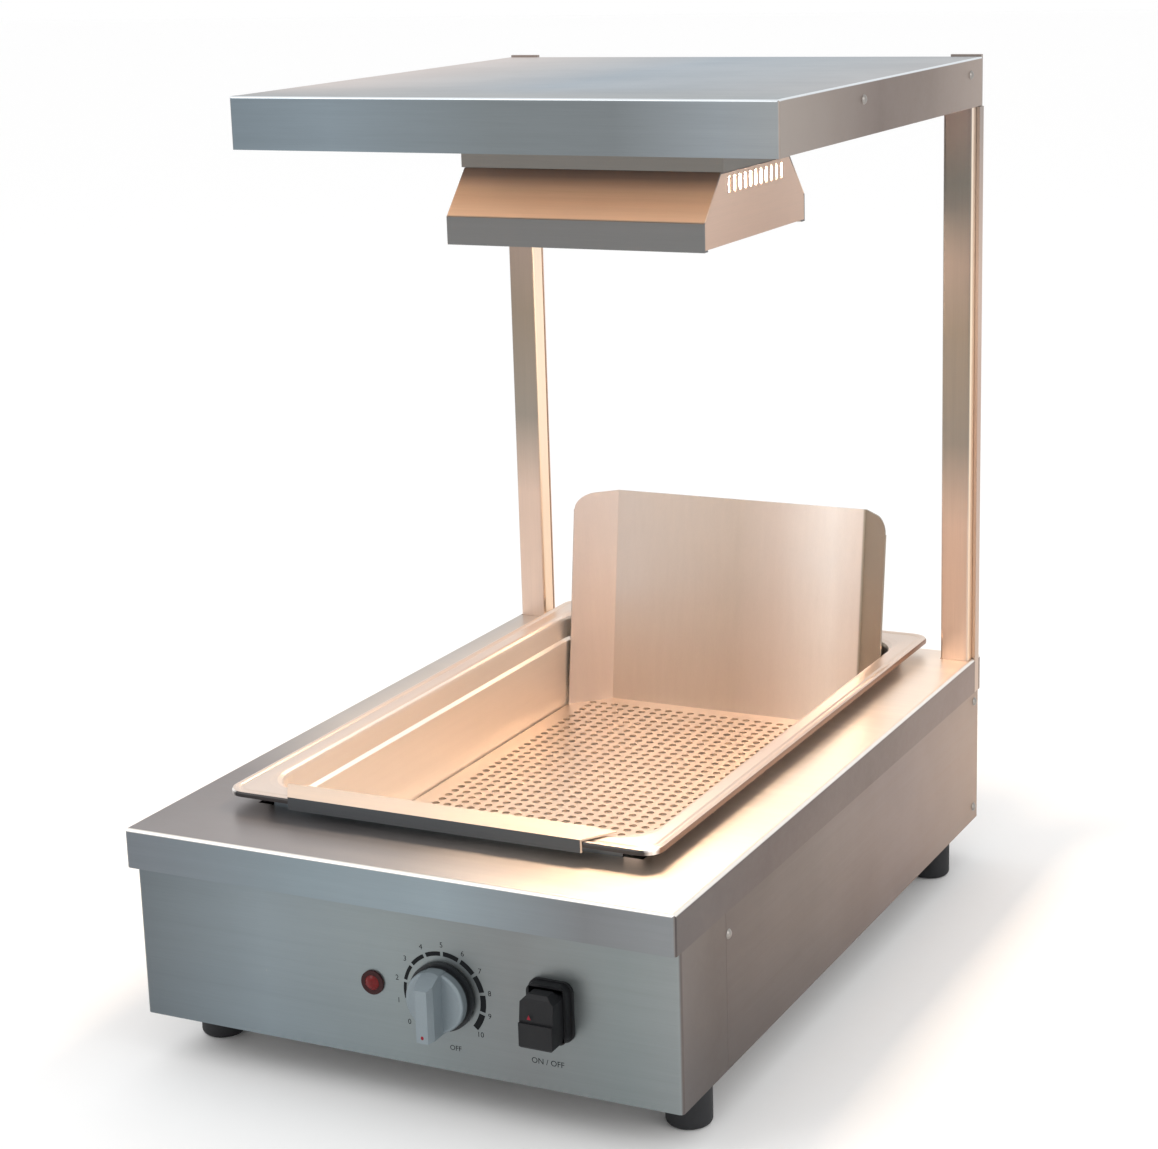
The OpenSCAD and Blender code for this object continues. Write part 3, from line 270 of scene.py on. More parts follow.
    @classmethod
    def smudges(cls) -> bpy.types.NodeTree:
        """Handling marks: soft clouds of noise, from 0 on clean metal to 1 on a smudge."""
        if "Smudges" in bpy.data.node_groups:
            return bpy.data.node_groups["Smudges"]
        group, given, result = cls._start("Smudges", {"Vector": "Vector", "Scale": "Float"}, ("Mask",))
        cloud = cls._noise(group, given["Vector"], detail=5.0, scale=given["Scale"])
        cloud.inputs["Roughness"].default_value = 0.6
        shape = group.nodes.new("ShaderNodeMapRange")
        shape.inputs["From Min"].default_value = 0.42
        shape.inputs["From Max"].default_value = 0.72
        group.links.new(cloud.outputs["Fac"], shape.inputs["Value"])
        group.links.new(shape.outputs["Result"], result["Mask"])
        return group

    @classmethod
    def speckle(cls) -> bpy.types.NodeTree:
        """Fine moulded or cast texture: Height = noise, Shade = 1 + Contrast * (noise - 0.5)."""
        if "Speckle" in bpy.data.node_groups:
            return bpy.data.node_groups["Speckle"]
        group, given, result = cls._start(
            "Speckle", {"Vector": "Vector", "Scale": "Float", "Contrast": "Float"}, ("Shade", "Height")
        )
        noise = cls._noise(group, given["Vector"], detail=6.0, scale=given["Scale"]).outputs["Fac"]
        centred = cls._math(group, "SUBTRACT", noise, 0.5)
        scaled = cls._math(group, "MULTIPLY", centred, given["Contrast"])
        group.links.new(cls._math(group, "ADD", scaled, 1.0), result["Shade"])
        group.links.new(noise, result["Height"])
        return group


class Shading:
    """One material's node tree, with short calls for the nodes that finishes place in it."""

    def __init__(self, name: str) -> None:
        """Start an empty material with a Principled shader and Object coordinates."""
        self.material = bpy.data.materials.new(name)
        self.material.use_nodes = True
        tree = self.material.node_tree
        self.nodes = tree.nodes
        self.links = tree.links
        self.shader = self.nodes["Principled BSDF"]
        place = self.nodes.new("ShaderNodeTexCoord")
        self.point = place.outputs["Object"]
        self.normal = place.outputs["Normal"]

    def group(self, tree: bpy.types.NodeTree, **values: object) -> bpy.types.Node:
        """Place a node group, set its inputs and join its Vector to the object's coordinates.

        Args:
            tree: The group.
            values: Values of its named inputs.

        Returns:
            The group's node.
        """
        node = self.nodes.new("ShaderNodeGroup")
        node.node_tree = tree
        for label, value in values.items():
            node.inputs[label].default_value = value
        self.links.new(self.point, node.inputs["Vector"])
        return node

    def ramp(self, ramp: Ramp) -> Socket:
        """Place a colour ramp along an axis and return its colour socket."""
        span = self.group(
            Groups.along(), Direction=ramp.axis.value, Start=ramp.start, End=ramp.end
        )
        node = self.nodes.new("ShaderNodeValToRGB")
        elements = node.color_ramp.elements
        while len(elements) < len(ramp.stops):
            elements.new(1.0)
        for element, (place, colour) in zip(elements, ramp.stops):
            element.position = place
            element.color = (*colour, 1.0)
        self.links.new(span.outputs["Factor"], node.inputs["Fac"])
        return node.outputs["Color"]

    def patched(self, base: Ramp, patches: tuple[Patch, ...]) -> Socket:
        """Lay patches over a base ramp, one after the other, and return the colour socket."""
        colour = self.ramp(base)
        for patch in patches:
            mask = None
            if patch.facing is not None:
                start, end = patch.spread
                node = self.group(
                    Groups.facing(), Direction=patch.facing.value, Start=start, End=end
                )
                self.links.new(self.normal, node.inputs["Vector"])
                mask = node.outputs["Mask"]
            if patch.past is not None:
                axis, start, end = patch.past
                node = self.group(Groups.along(), Direction=axis.value, Start=start, End=end)
                side = node.outputs["Factor"]
                mask = side if mask is None else self.times(mask, side)
            colour = self.mix("MIX", mask, colour, self.ramp(patch.ramp))
        return colour

    def times(self, a: Socket, b: Socket) -> Socket:
        """Return the product of two values."""
        node = self.nodes.new("ShaderNodeMath")
        node.operation = "MULTIPLY"
        self.links.new(a, node.inputs[0])
        self.links.new(b, node.inputs[1])
        return node.outputs["Value"]

    def mix(self, kind: str, factor: Socket | float, a: Socket | Colour, b: Socket | Colour) -> Socket:
        """Mix two colours, each a socket or a colour, by a factor that is a socket or a number.

        Args:
            kind: Blend type, such as MIX or MULTIPLY.
            factor: How much of b shows.
            a: First colour.
            b: Second colour.

        Returns:
            The mixed colour's socket.
        """
        node = self.nodes.new("ShaderNodeMix")
        node.data_type = "RGBA"
        node.blend_type = kind
        for value, socket in ((factor, node.inputs[0]), (a, node.inputs[6]), (b, node.inputs[7])):
            if isinstance(value, Socket):
                self.links.new(value, socket)
            elif isinstance(value, tuple):
                socket.default_value = (*value, 1.0)
            else:
                socket.default_value = value
        return node.outputs[2]

    def add(self, socket: Socket, amount: Socket | float, scale: float) -> Socket:
        """Return amount + scale * socket, where amount may be a socket too."""
        node = self.nodes.new("ShaderNodeMath")
        node.operation = "MULTIPLY_ADD"
        self.links.new(socket, node.inputs[0])
        node.inputs[1].default_value = scale
        if isinstance(amount, float):
            node.inputs[2].default_value = amount
        else:
            self.links.new(amount, node.inputs[2])
        return node.outputs["Value"]

    def bump(self, height: Socket, depth: float) -> None:
        """Feed a height of the given depth in metres to the shader's Normal."""
        node = self.nodes.new("ShaderNodeBump")
        node.inputs["Distance"].default_value = depth
        node.inputs["Strength"].default_value = 1.0
        self.links.new(height, node.inputs["Height"])
        self.links.new(node.outputs["Normal"], self.shader.inputs["Normal"])


STEEL_SMUDGE_SCALE = 9.0
SMUDGE_TINT = (0.90, 0.89, 0.88)
SMUDGE_SHOWN = 4
MOULDED_SMUDGE_SCALE = 30.0
MOULDED_WEAR = 0.12


@dataclass(frozen=True)
class Steel:
    """Brushed stainless sheet with painted light, shade and reflections: its tint changes over the piece
    and by which way each face looks.
    """

    name: str
    ramp: Ramp
    grain: Grain = Grain.ALONG_X
    patches: tuple[Patch, ...] = ()
    roughness: float = 0.34
    metallic: float = 0.9
    contrast: float = 0.14
    smudge: float = 0.06
    depth: float = 0.00003

    def build(self) -> bpy.types.Material:
        """Make the material."""
        s = Shading(self.name)
        # Painted light and shade: the ramp and its patches colour the sheet as lamps and surroundings would
        # light it.
        colour = s.patched(self.ramp, self.patches)
        grain = s.group(Groups.brushed(), Repeats=self.grain.value, Contrast=self.contrast)
        smudge = s.group(Groups.smudges(), Scale=STEEL_SMUDGE_SCALE)
        colour = s.mix("MULTIPLY", 1.0, colour, grain.outputs["Shade"])
        darker = s.mix("MULTIPLY", 1.0, colour, SMUDGE_TINT)
        shown = s.add(smudge.outputs["Mask"], 0.0, self.smudge * SMUDGE_SHOWN)
        s.links.new(s.mix("MIX", shown, colour, darker), s.shader.inputs["Base Color"])
        rough = s.add(grain.outputs["Roughness"], self.roughness, 1.0)
        worn = s.add(smudge.outputs["Mask"], rough, self.smudge)
        s.links.new(worn, s.shader.inputs["Roughness"])
        s.shader.inputs["Metallic"].default_value = self.metallic
        s.bump(grain.outputs["Height"], self.depth)
        return s.material


@dataclass(frozen=True)
class Moulded:
    """Moulded plastic, rubber or ceramic with a fine cast texture."""

    name: str
    colour: Colour
    roughness: float = 0.45
    metallic: float = 0.0
    scale: float = 900.0
    contrast: float = 0.25
    depth: float = 0.00003
    sheen: float = 0.5
    patches: tuple[Patch, ...] = ()

    def build(self) -> bpy.types.Material:
        """Make the material."""
        s = Shading(self.name)
        speckle = s.group(Groups.speckle(), Scale=self.scale, Contrast=self.contrast)
        smudge = s.group(Groups.smudges(), Scale=MOULDED_SMUDGE_SCALE)
        colour = s.patched(plain(self.colour), self.patches)
        shaded = s.mix("MULTIPLY", 1.0, colour, speckle.outputs["Shade"])
        s.links.new(shaded, s.shader.inputs["Base Color"])
        s.shader.inputs["Specular IOR Level"].default_value = self.sheen
        worn = s.add(smudge.outputs["Mask"], self.roughness, MOULDED_WEAR)
        s.links.new(worn, s.shader.inputs["Roughness"])
        s.shader.inputs["Metallic"].default_value = self.metallic
        s.bump(speckle.outputs["Height"], self.depth)
        return s.material


@dataclass(frozen=True)
class Glowing:
    """A hot tube: clear quartz over a glowing coil, banded along its length."""

    name: str
    colour: Colour
    strength: float
    bands_scale: float = 90.0
    band_shade: float = 0.5
    roughness: float = 0.2

    def build(self) -> bpy.types.Material:
        """Make the material."""
        s = Shading(self.name)
        bands = s.nodes.new("ShaderNodeTexWave")
        bands.inputs["Scale"].default_value = self.bands_scale
        s.links.new(s.point, bands.inputs["Vector"])
        shaded = tuple(c * self.band_shade for c in self.colour)
        glow = s.mix("MIX", bands.outputs["Fac"], self.colour, shaded)
        s.links.new(glow, s.shader.inputs["Base Color"])
        s.links.new(glow, s.shader.inputs["Emission Color"])
        s.shader.inputs["Emission Strength"].default_value = self.strength
        s.shader.inputs["Roughness"].default_value = self.roughness
        return s.material


@dataclass(frozen=True)
class Lens:
    """Dark red moulded lens with a fine speckle under a glossy face."""

    name: str
    colour: Colour
    glow: float
    scale: float = 420.0
    contrast: float = 0.9
    depth: float = 0.00005
    roughness: float = 0.25
    sheen: float = 0.25

    def build(self) -> bpy.types.Material:
        """Make the material."""
        s = Shading(self.name)
        speckle = s.group(Groups.speckle(), Scale=self.scale, Contrast=self.contrast)
        tint = s.mix("MULTIPLY", 1.0, self.colour, speckle.outputs["Shade"])
        s.links.new(tint, s.shader.inputs["Base Color"])
        s.links.new(tint, s.shader.inputs["Emission Color"])
        s.shader.inputs["Emission Strength"].default_value = self.glow
        s.shader.inputs["Roughness"].default_value = self.roughness
        s.shader.inputs["Specular IOR Level"].default_value = self.sheen
        s.bump(speckle.outputs["Height"], self.depth)
        return s.material


Finish = Steel | Moulded | Glowing | Lens


def dress(finish: Finish, *nodes: str) -> None:
    """Give frame nodes a finish in all their material slots.

    Args:
        finish: What they look like.
        nodes: Names of the nodes.
    """
    material = finish.build()
    for name in nodes:
        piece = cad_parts[name]
        piece.data.materials.clear()
        piece.data.materials.append(material)
    LOG.info("%s on %d nodes", material.name, len(nodes))


def mesh_piece(
    name: str, points: np.ndarray, faces: np.ndarray, material: bpy.types.Material
) -> bpy.types.Object:
    """Make a flat-shaded object from arrays of points and faces, placed by its mesh.

    Args:
        name: Name of the piece.
        points: Array of n by 3 places.
        faces: Array of m by 3 or m by 4 point numbers.
        material: Its material.

    Returns:
        The object.
    """
    mesh = bpy.data.meshes.new(name)
    count, sides = faces.shape
    mesh.vertices.add(len(points))
    mesh.vertices.foreach_set("co", points.astype(np.float32).ravel())
    mesh.loops.add(count * sides)
    mesh.loops.foreach_set("vertex_index", faces.astype(np.int32).ravel())
    mesh.polygons.add(count)
    mesh.polygons.foreach_set("loop_start", np.arange(count, dtype=np.int32) * sides)
    mesh.polygons.foreach_set("loop_total", np.full(count, sides, dtype=np.int32))
    mesh.polygons.foreach_set("use_smooth", np.zeros(count, dtype=bool))
    mesh.update(calc_edges=True)
    mesh.validate()
    mesh.materials.append(material)
    piece = bpy.data.objects.new(name, mesh)
    bpy.context.scene.collection.objects.link(piece)
    return piece


def facing_turn(across: np.ndarray, upward: np.ndarray, ahead: np.ndarray) -> Matrix:
    """Turn of a camera or light whose right, up and forward directions are given."""
    return Matrix([[across[i], upward[i], -ahead[i]] for i in range(3)]).to_4x4()


@dataclass
class Camera:
    """The photograph's viewpoint, found by fitting straight edges of the object."""

    azimuth: float = 26.86
    elevation: float = 14.58
    roll: float = -1.76
    place: Vec = (0.8135, -1.61805, 0.7627)
    lens: float = 80.19
    sensor: float = 36.0
    reach: float = 50.0

    def build(self) -> None:
        """Make the camera and set it as the scene's."""
        az, el, roll = (math.radians(v) for v in (self.azimuth, self.elevation, self.roll))
        level = math.cos(el)
        ahead = np.array([-math.sin(az) * level, math.cos(az) * level, -math.sin(el)])
        right = np.array([math.cos(az), math.sin(az), 0.0])
        up = np.cross(right, ahead)
        across = right * math.cos(roll) + up * math.sin(roll)
        upward = -right * math.sin(roll) + up * math.cos(roll)
        data = bpy.data.cameras.new("photo_view")
        data.lens = self.lens
        data.sensor_width = self.sensor
        data.clip_end = self.reach
        camera = bpy.data.objects.new("photo_view", data)
        camera.matrix_world = Matrix.Translation(self.place) @ facing_turn(across, upward, ahead)
        bpy.context.scene.collection.objects.link(camera)
        bpy.context.scene.camera = camera


STRAIGHT_DOWN = 0.999


@dataclass
class Studio:
    """Pale floor, soft lights and a white surround."""

    floor_size: float = 30.0
    surround: Colour = (1.0, 1.0, 1.0)

    def light(
        self, name: str, place: Vec, aim: Vec, size: tuple[float, float], power: float, colour: Colour
    ) -> None:
        """Add a rectangular soft light.

        Args:
            name: Name of the light.
            place: Where it hangs.
            aim: The point that it faces.
            size: Width and height.
            power: Watts.
            colour: Its colour.
        """
        data = bpy.data.lights.new(name, "AREA")
        data.shape = "RECTANGLE"
        data.size, data.size_y = size
        data.energy = power
        data.color = colour
        lamp = bpy.data.objects.new(name, data)
        ahead = np.array(aim) - np.array(place)
        ahead = ahead / np.linalg.norm(ahead)
        upright = abs(ahead[2]) > STRAIGHT_DOWN
        side = np.array(Axis.X.value) if upright else np.cross(ahead, Axis.Z.value)
        side = side / np.linalg.norm(side)
        turn = facing_turn(side, np.cross(side, ahead), ahead)
        lamp.matrix_world = Matrix.Translation(place) @ turn
        bpy.context.scene.collection.objects.link(lamp)

    def floor(self) -> None:
        """Lay a plain pale floor, which is no part of the object."""
        half = self.floor_size / 2
        corners = [[-half, -half, 0], [half, -half, 0], [half, half, 0], [-half, half, 0]]
        material = Moulded("pale_floor", srgb(254, 254, 254), 0.9, 0.0, 60.0, 0.01, 0.0).build()
        ground = mesh_piece("floor", np.array(corners), np.array([[0, 1, 2, 3]]), material)

    def build(self) -> None:
        """Set the surround, the floor and the lights."""
        bpy.context.scene.view_settings.view_transform = "Standard"
        world = bpy.data.worlds.new("surround")
        bpy.context.scene.world = world
        world.use_nodes = True
        shade = world.node_tree.nodes["Background"]
        shade.inputs["Color"].default_value = (*self.surround, 1.0)
        shade.inputs["Strength"].default_value = 1.0
        self.floor()
        body = (0.0, 0.0, 0.2)
        self.light("key", (-1.6, -2.2, 2.4), body, (1.6, 1.2), 16.0, (1.0, 0.99, 0.98))
        self.light("fill", (2.4, -0.6, 1.2), body, (1.4, 1.4), 9.0, (1.0, 0.97, 0.94))
        hood_low, hood_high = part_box("hood_shell")
        middle = (hood_low[1] + hood_high[1]) / 2
        mouth = hood_low[2] + 4 * MM
        self.light(
            "heat_glow", (0.0, middle, mouth), (0.0, middle + 20 * MM, 0.0),
            (170 * MM, 150 * MM), 3.0, (1.0, 0.77, 0.56),
        )
        behind_slots = hood_high[0] - 5 * MM
        height = hood_high[2] - 12 * MM
        for name, side in (("vent_glow_left", -1), ("vent_glow_right", 1)):
            self.light(
                name, (side * behind_slots, middle, height), (0.0, middle, height),
                (100 * MM, 16 * MM), 2.5, (1.0, 0.88, 0.74),
            )


SHADED_STEEL = srgb(150, 146, 142)
POST_FOOT = 0.17
POST_HEAD = 0.61
FOLD_SPREAD = (0.86, 0.97)


def painted_side_shading(face: Ramp, flank: Ramp) -> tuple[Patch, ...]:
    """Painted light and shade by which way a face looks: ramps on a folded box's front and two sides, and
    plain shaded steel on faces that look to the rear.
    """
    return (
        Patch(face, facing=Axis.MINUS_Y),
        Patch(flank, facing=Axis.X),
        Patch(flank, facing=Axis.MINUS_X),
        Patch(plain(SHADED_STEEL), facing=Axis.Y),
    )


def painted_fold_highlights(colour: Colour) -> tuple[Patch, ...]:
    """Painted highlights: light lines along the folds between a top and its front and sides."""
    return tuple(
        Patch(plain(colour), facing=fold, spread=FOLD_SPREAD)
        for fold in (Axis.FRONT_FOLD, Axis.RIGHT_FOLD, Axis.LEFT_FOLD)
    )


@dataclass
class Finishes:
    """Finish of every frame node."""

    def body(self) -> None:
        """Cover, panels and tray of the base."""
        low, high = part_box("top_cover")
        left, right, front, back = low[0], high[0], low[1], high[1]
        # Painted light and shade on the cover: the top lighter towards the right, its front part darker,
        # the front skirt in a painted blue-grey reflection and the sides in painted brown shade.
        rear_part = tones(Axis.X, left, right, (0.0, 178, 172, 168), (0.1, 214, 202, 190),
                          (0.5, 232, 220, 210), (0.86, 242, 226, 212), (1.0, 246, 230, 214))
        front_part = tones(Axis.X, left, right, (0.0, 138, 133, 133), (0.3, 160, 155, 155),
                           (0.5, 176, 169, 166), (0.62, 198, 188, 181), (0.85, 222, 206, 192),
                           (1.0, 236, 222, 208))
        shade_end, shade_start = front + 130 * MM, front + 260 * MM
        skirt = tones(Axis.X, left, right, (0.0, 109, 115, 121), (0.35, 127, 140, 147),
                      (0.6, 136, 149, 156), (0.85, 116, 119, 122), (1.0, 130, 134, 137))
        flank = tones(Axis.Y, front, back, (0.0, 80, 76, 77), (0.3, 94, 82, 78),
                      (0.6, 108, 92, 84), (1.0, 140, 119, 108))
        cover_patches = (
            Patch(front_part, past=(Axis.MINUS_Y, -shade_start, -shade_end)),
            *painted_side_shading(skirt, flank),
            *painted_fold_highlights(srgb(244, 240, 234)),
        )
        dress(Steel("steel_cover", rear_part, Grain.ALONG_X, cover_patches), "top_cover")
        # Painted light and shade on the front panel, changing across its width.
        face = tones(Axis.X, left, right, (0.0, 100, 108, 113), (0.25, 127, 138, 144),
                     (0.5, 130, 139, 141), (0.72, 123, 127, 128), (0.9, 125, 133, 134),
                     (1.0, 135, 141, 142))
        side = tones(Axis.Y, front, back, (0.0, 101, 96, 95), (0.1, 91, 83, 79),
                     (0.14, 93, 84, 80), (0.4, 112, 101, 95), (0.7, 134, 117, 109),
                     (1.0, 160, 136, 119))
        panel_patches = (Patch(side, facing=Axis.X), Patch(side, facing=Axis.MINUS_X))
        dress(Steel("steel_front", face, Grain.ALONG_X, panel_patches), "front_panel")
        # Painted shade: the side panels darker towards the front, the rear panel in plain shaded steel.
        dress(Steel("steel_sides", side, Grain.ALONG_Y), "side_panel_left", "side_panel_right")
        dress(Steel("steel_rear", plain(SHADED_STEEL), Grain.ALONG_X), "rear_panel")
        dress(
            Steel("steel_inside", plain(srgb(128, 126, 124)), Grain.ALONG_X, roughness=0.45),
            "base_tray", "heater_well", "element_saddles", "tube_holder_left",
            "tube_holder_right", "lamp_guard", "regulator_nut", "regulator_shaft",
        )
        dress(Moulded("dark_sheath", srgb(70, 66, 62), 0.55, 0.6, 500.0, 0.4), "base_element")
        dress(
            Moulded("black_rubber", srgb(30, 31, 34), 0.7),
            "foot_front_left", "foot_front_right", "foot_rear_left", "foot_rear_right",
        )

    def tower(self) -> None:
        """Posts, canopy and hood."""
        self.canopy()
        self.hood()
        self.posts()

    def canopy(self) -> None:
        """Canopy with its underside."""
        low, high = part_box("canopy")
        left, right, front, back = low[0], high[0], low[1], high[1]
        # Painted light and reflection on the canopy: the top tinted blue-grey in the middle, its front
        # strip darker and the front and sides in painted shade.
        top = tones(Axis.X, left, right, (0.0, 200, 188, 183), (0.25, 168, 168, 170),
                    (0.5, 134, 151, 165), (0.75, 142, 153, 162), (1.0, 156, 158, 161))
        top_front = tones(Axis.X, left, right, (0.0, 150, 152, 154), (1.0, 136, 145, 150))
        shade_end, shade_start = front + 10 * MM, front + 90 * MM
        face = tones(Axis.X, left, right, (0.0, 120, 132, 140), (0.2, 130, 142, 150),
                     (0.5, 120, 127, 130), (0.72, 120, 126, 129), (0.9, 144, 151, 156),
                     (1.0, 152, 156, 158))
        flank = tones(Axis.Y, front, back, (0.0, 158, 147, 139), (0.2, 146, 134, 126),
                      (0.45, 116, 101, 93), (0.7, 127, 112, 103), (1.0, 158, 142, 132))
        patches = (
            Patch(top_front, past=(Axis.MINUS_Y, -shade_start, -shade_end)),
            *painted_side_shading(face, flank),
            *painted_fold_highlights(srgb(226, 232, 236)),
        )
        dress(Steel("steel_canopy", top, Grain.ALONG_X, patches), "canopy")
        # Painted warm light: the underside coloured as lit by the heat lamp's glow.
        painted_lamp_warmth = plain(srgb(238, 216, 192))
        dress(
            Steel("steel_underside", painted_lamp_warmth, Grain.ALONG_X, metallic=0.3, roughness=0.5),
            "canopy_inner_panel",
        )

    def hood(self) -> None:
        """Neck, hood, reflector and heat tubes."""
        # Painted shade: the neck under the canopy in a darker grey.
        dress(Steel("steel_neck", plain(srgb(120, 118, 114)), Grain.ALONG_X), "heater_neck")
        low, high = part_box("hood_shell")
        band_top = low[2] + 20 * MM
        # Painted reflection on the hood: its slant warm and light at the bottom and dark at the top, and
        # the upright band at its foot in a painted darker grey.
        slant = tones(Axis.Z, band_top, high[2], (0.0, 236, 210, 188), (0.35, 212, 184, 162),
                      (0.6, 190, 166, 148), (0.85, 116, 104, 100), (1.0, 92, 84, 82))
        band = Patch(plain(srgb(114, 115, 115)), past=(Axis.MINUS_Z, -band_top - MM, -band_top))
        dress(Steel("steel_hood", slant, Grain.ALONG_X, (band,), metallic=0.55), "hood_shell")
        # Painted warm lamp light on the hood's ends.
        ends = tones(Axis.Z, low[2], high[2], (0.0, 206, 177, 159), (1.0, 216, 188, 170))
        dress(Steel("steel_hood_ends", ends, Grain.ALONG_Y), "hood_end_left", "hood_end_right")
        mirror = plain(srgb(236, 232, 226))
        dress(Steel("bright_reflector", mirror, Grain.ALONG_X, roughness=0.12), "reflector")
        dress(Glowing("hot_quartz", (1.0, 0.42, 0.14), 3.0), "heat_tube_front", "heat_tube_rear")
        dress(Moulded("white_ceramic", srgb(232, 226, 212), 0.6), "tube_ceramics", "terminal_block")

    def posts(self) -> None:
        """Posts with their strips and brackets."""
        # Painted light and shade on the posts and their strips: lighter and warmer near the foot, darker
        # higher up, and the posts' right sides in painted warm light.
        face = tones(Axis.Z, POST_FOOT, POST_HEAD, (0.0, 206, 184, 170), (0.25, 200, 178, 164),
                     (0.4, 140, 133, 124), (0.6, 138, 126, 113), (0.72, 150, 134, 123),
                     (0.86, 121, 118, 111), (1.0, 130, 119, 116))
        flank = tones(Axis.Z, POST_FOOT, POST_HEAD, (0.0, 240, 208, 178), (0.6, 250, 230, 205),
                      (1.0, 240, 222, 204))
        strip = tones(Axis.Z, POST_FOOT, POST_HEAD, (0.0, 200, 176, 158), (0.4, 192, 164, 148),
                      (0.7, 202, 176, 160), (1.0, 150, 138, 131))
        right_side = Patch(flank, facing=Axis.X)
        dress(Steel("steel_posts", face, Grain.ALONG_Z, (right_side,)), "post_left", "post_right")
        dress(
            Steel("steel_strips", strip, Grain.ALONG_Z),
            "post_cover_left", "post_cover_right", "post_bracket_left", "post_bracket_right",
        )

    def insert(self) -> None:
        """Perforated floor, front hook, legs and deflector."""
        low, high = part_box("back_deflector")
        # Painted light and shade across the deflector: a lighter stretch towards the right and a sharp
        # darker one at its right end.
        sheet = tones(Axis.X, low[0], high[0], (0.0, 184, 170, 163), (0.10, 192, 178, 170),
                      (0.105, 190, 178, 170), (0.5, 181, 168, 158), (0.62, 194, 181, 173),
                      (0.8, 222, 216, 212), (0.89, 214, 204, 198), (0.895, 142, 133, 121),
                      (1.0, 148, 137, 125))
        dress(Steel("steel_deflector", sheet, Grain.ALONG_Z, contrast=0.09), "back_deflector")
        low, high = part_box("insert_floor")
        # Painted warm lamp light on the insert floor and legs, a little darker towards the rear.
        painted_lamp_warmth = tones(Axis.Y, low[1], high[1], (0.0, 222, 207, 194), (0.6, 228, 208, 190),
                     (1.0, 216, 192, 172))
        dress(
            Steel("steel_insert", painted_lamp_warmth, Grain.ALONG_Y, contrast=0.06),
            "insert_floor", "insert_legs",
        )
        # Painted reflection: the hook's front lip in dark grey; its top in painted warm lamp light.
        lip_front = -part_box("insert_hook")[0][1]
        lip = Patch(plain(srgb(92, 96, 99)), facing=Axis.MINUS_Y,
                    past=(Axis.MINUS_Y, lip_front - 6 * MM, lip_front - 3 * MM))
        hook = plain(srgb(228, 206, 186))
        dress(Steel("steel_hook", hook, Grain.ALONG_X, (lip,)), "insert_hook")

    def pan(self) -> None:
        """Pan: painted light on the inside and the rim's top, and painted dark and brown reflections on the
        edges round the rim.
        """
        low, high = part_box("pan")
        front, back, side, top = low[1], high[1], high[0], high[2]
        # Painted light: the inside nearly white and the rim's top in a warm tone.
        inner = tones(Axis.Y, front, back, (0.0, 250, 246, 242), (1.0, 246, 238, 230))
        rim = tones(Axis.Y, front, back, (0.0, 226, 210, 198), (0.6, 210, 188, 174),
                    (1.0, 222, 204, 190))
        # Painted reflections: dark on the edges that face the front and the left, brown on the edge that
        # faces the right.
        dark = plain(srgb(78, 76, 76))
        brown = plain(srgb(150, 116, 96))
        edge = 3 * MM
        rim_low = top - 7 * MM
        patches = (
            Patch(rim, facing=Axis.Z, past=(Axis.Z, rim_low, rim_low + MM)),
            Patch(dark, facing=Axis.MINUS_Y, past=(Axis.MINUS_Y, -front - edge, -front - MM)),
            Patch(brown, facing=Axis.X, past=(Axis.X, side - edge, side - MM)),
            Patch(dark, facing=Axis.MINUS_X, past=(Axis.MINUS_X, side - edge, side - MM)),
        )
        dress(
            Steel("steel_pan", inner, Grain.ALONG_Y, patches,
                  roughness=0.30, contrast=0.05, depth=0.000005),
            "pan",
        )

    def controls(self) -> None:
        """Knob, switch, indicator, regulator, cable entry and screws."""
        knob_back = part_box("knob")[1][1]
        # Painted shade: the knob's skirt next to the panel in near black.
        skirt = Patch(plain(srgb(34, 37, 40)),
                      past=(Axis.Y, knob_back - 6.5 * MM, knob_back - 5.5 * MM))
        silver = srgb(126, 137, 143)
        dress(Moulded("silver_plastic", silver, 0.38, 0.35, 700.0, 0.12, patches=(skirt,)), "knob")
        black = Moulded("black_plastic", srgb(17, 18, 21), 0.5, sheen=0.3)
        dress(black, "rocker", "switch_housing")
        dress(Moulded("lamp_ring", srgb(46, 14, 16), 0.5, sheen=0.25), "indicator_housing")
        dress(
            Moulded("black_nylon", srgb(30, 30, 32), 0.5),
            "energy_regulator", "cable_gland", "gland_cap", "gland_nut",
        )
        dress(Lens("red_lens", srgb(98, 12, 14), 0.04), "indicator_lens")
        dress(
            Moulded("plain_screws", SHADED_STEEL, 0.3, 1.0, 600.0, 0.1),
            "side_screws", "canopy_screws", "bracket_screws", "rear_screws", "neck_screws",
            "hood_screws", "foot_screws",
        )

    def build(self) -> None:
        """Dress every node."""
        self.body()
        self.tower()
        self.insert()
        self.pan()
        self.controls()


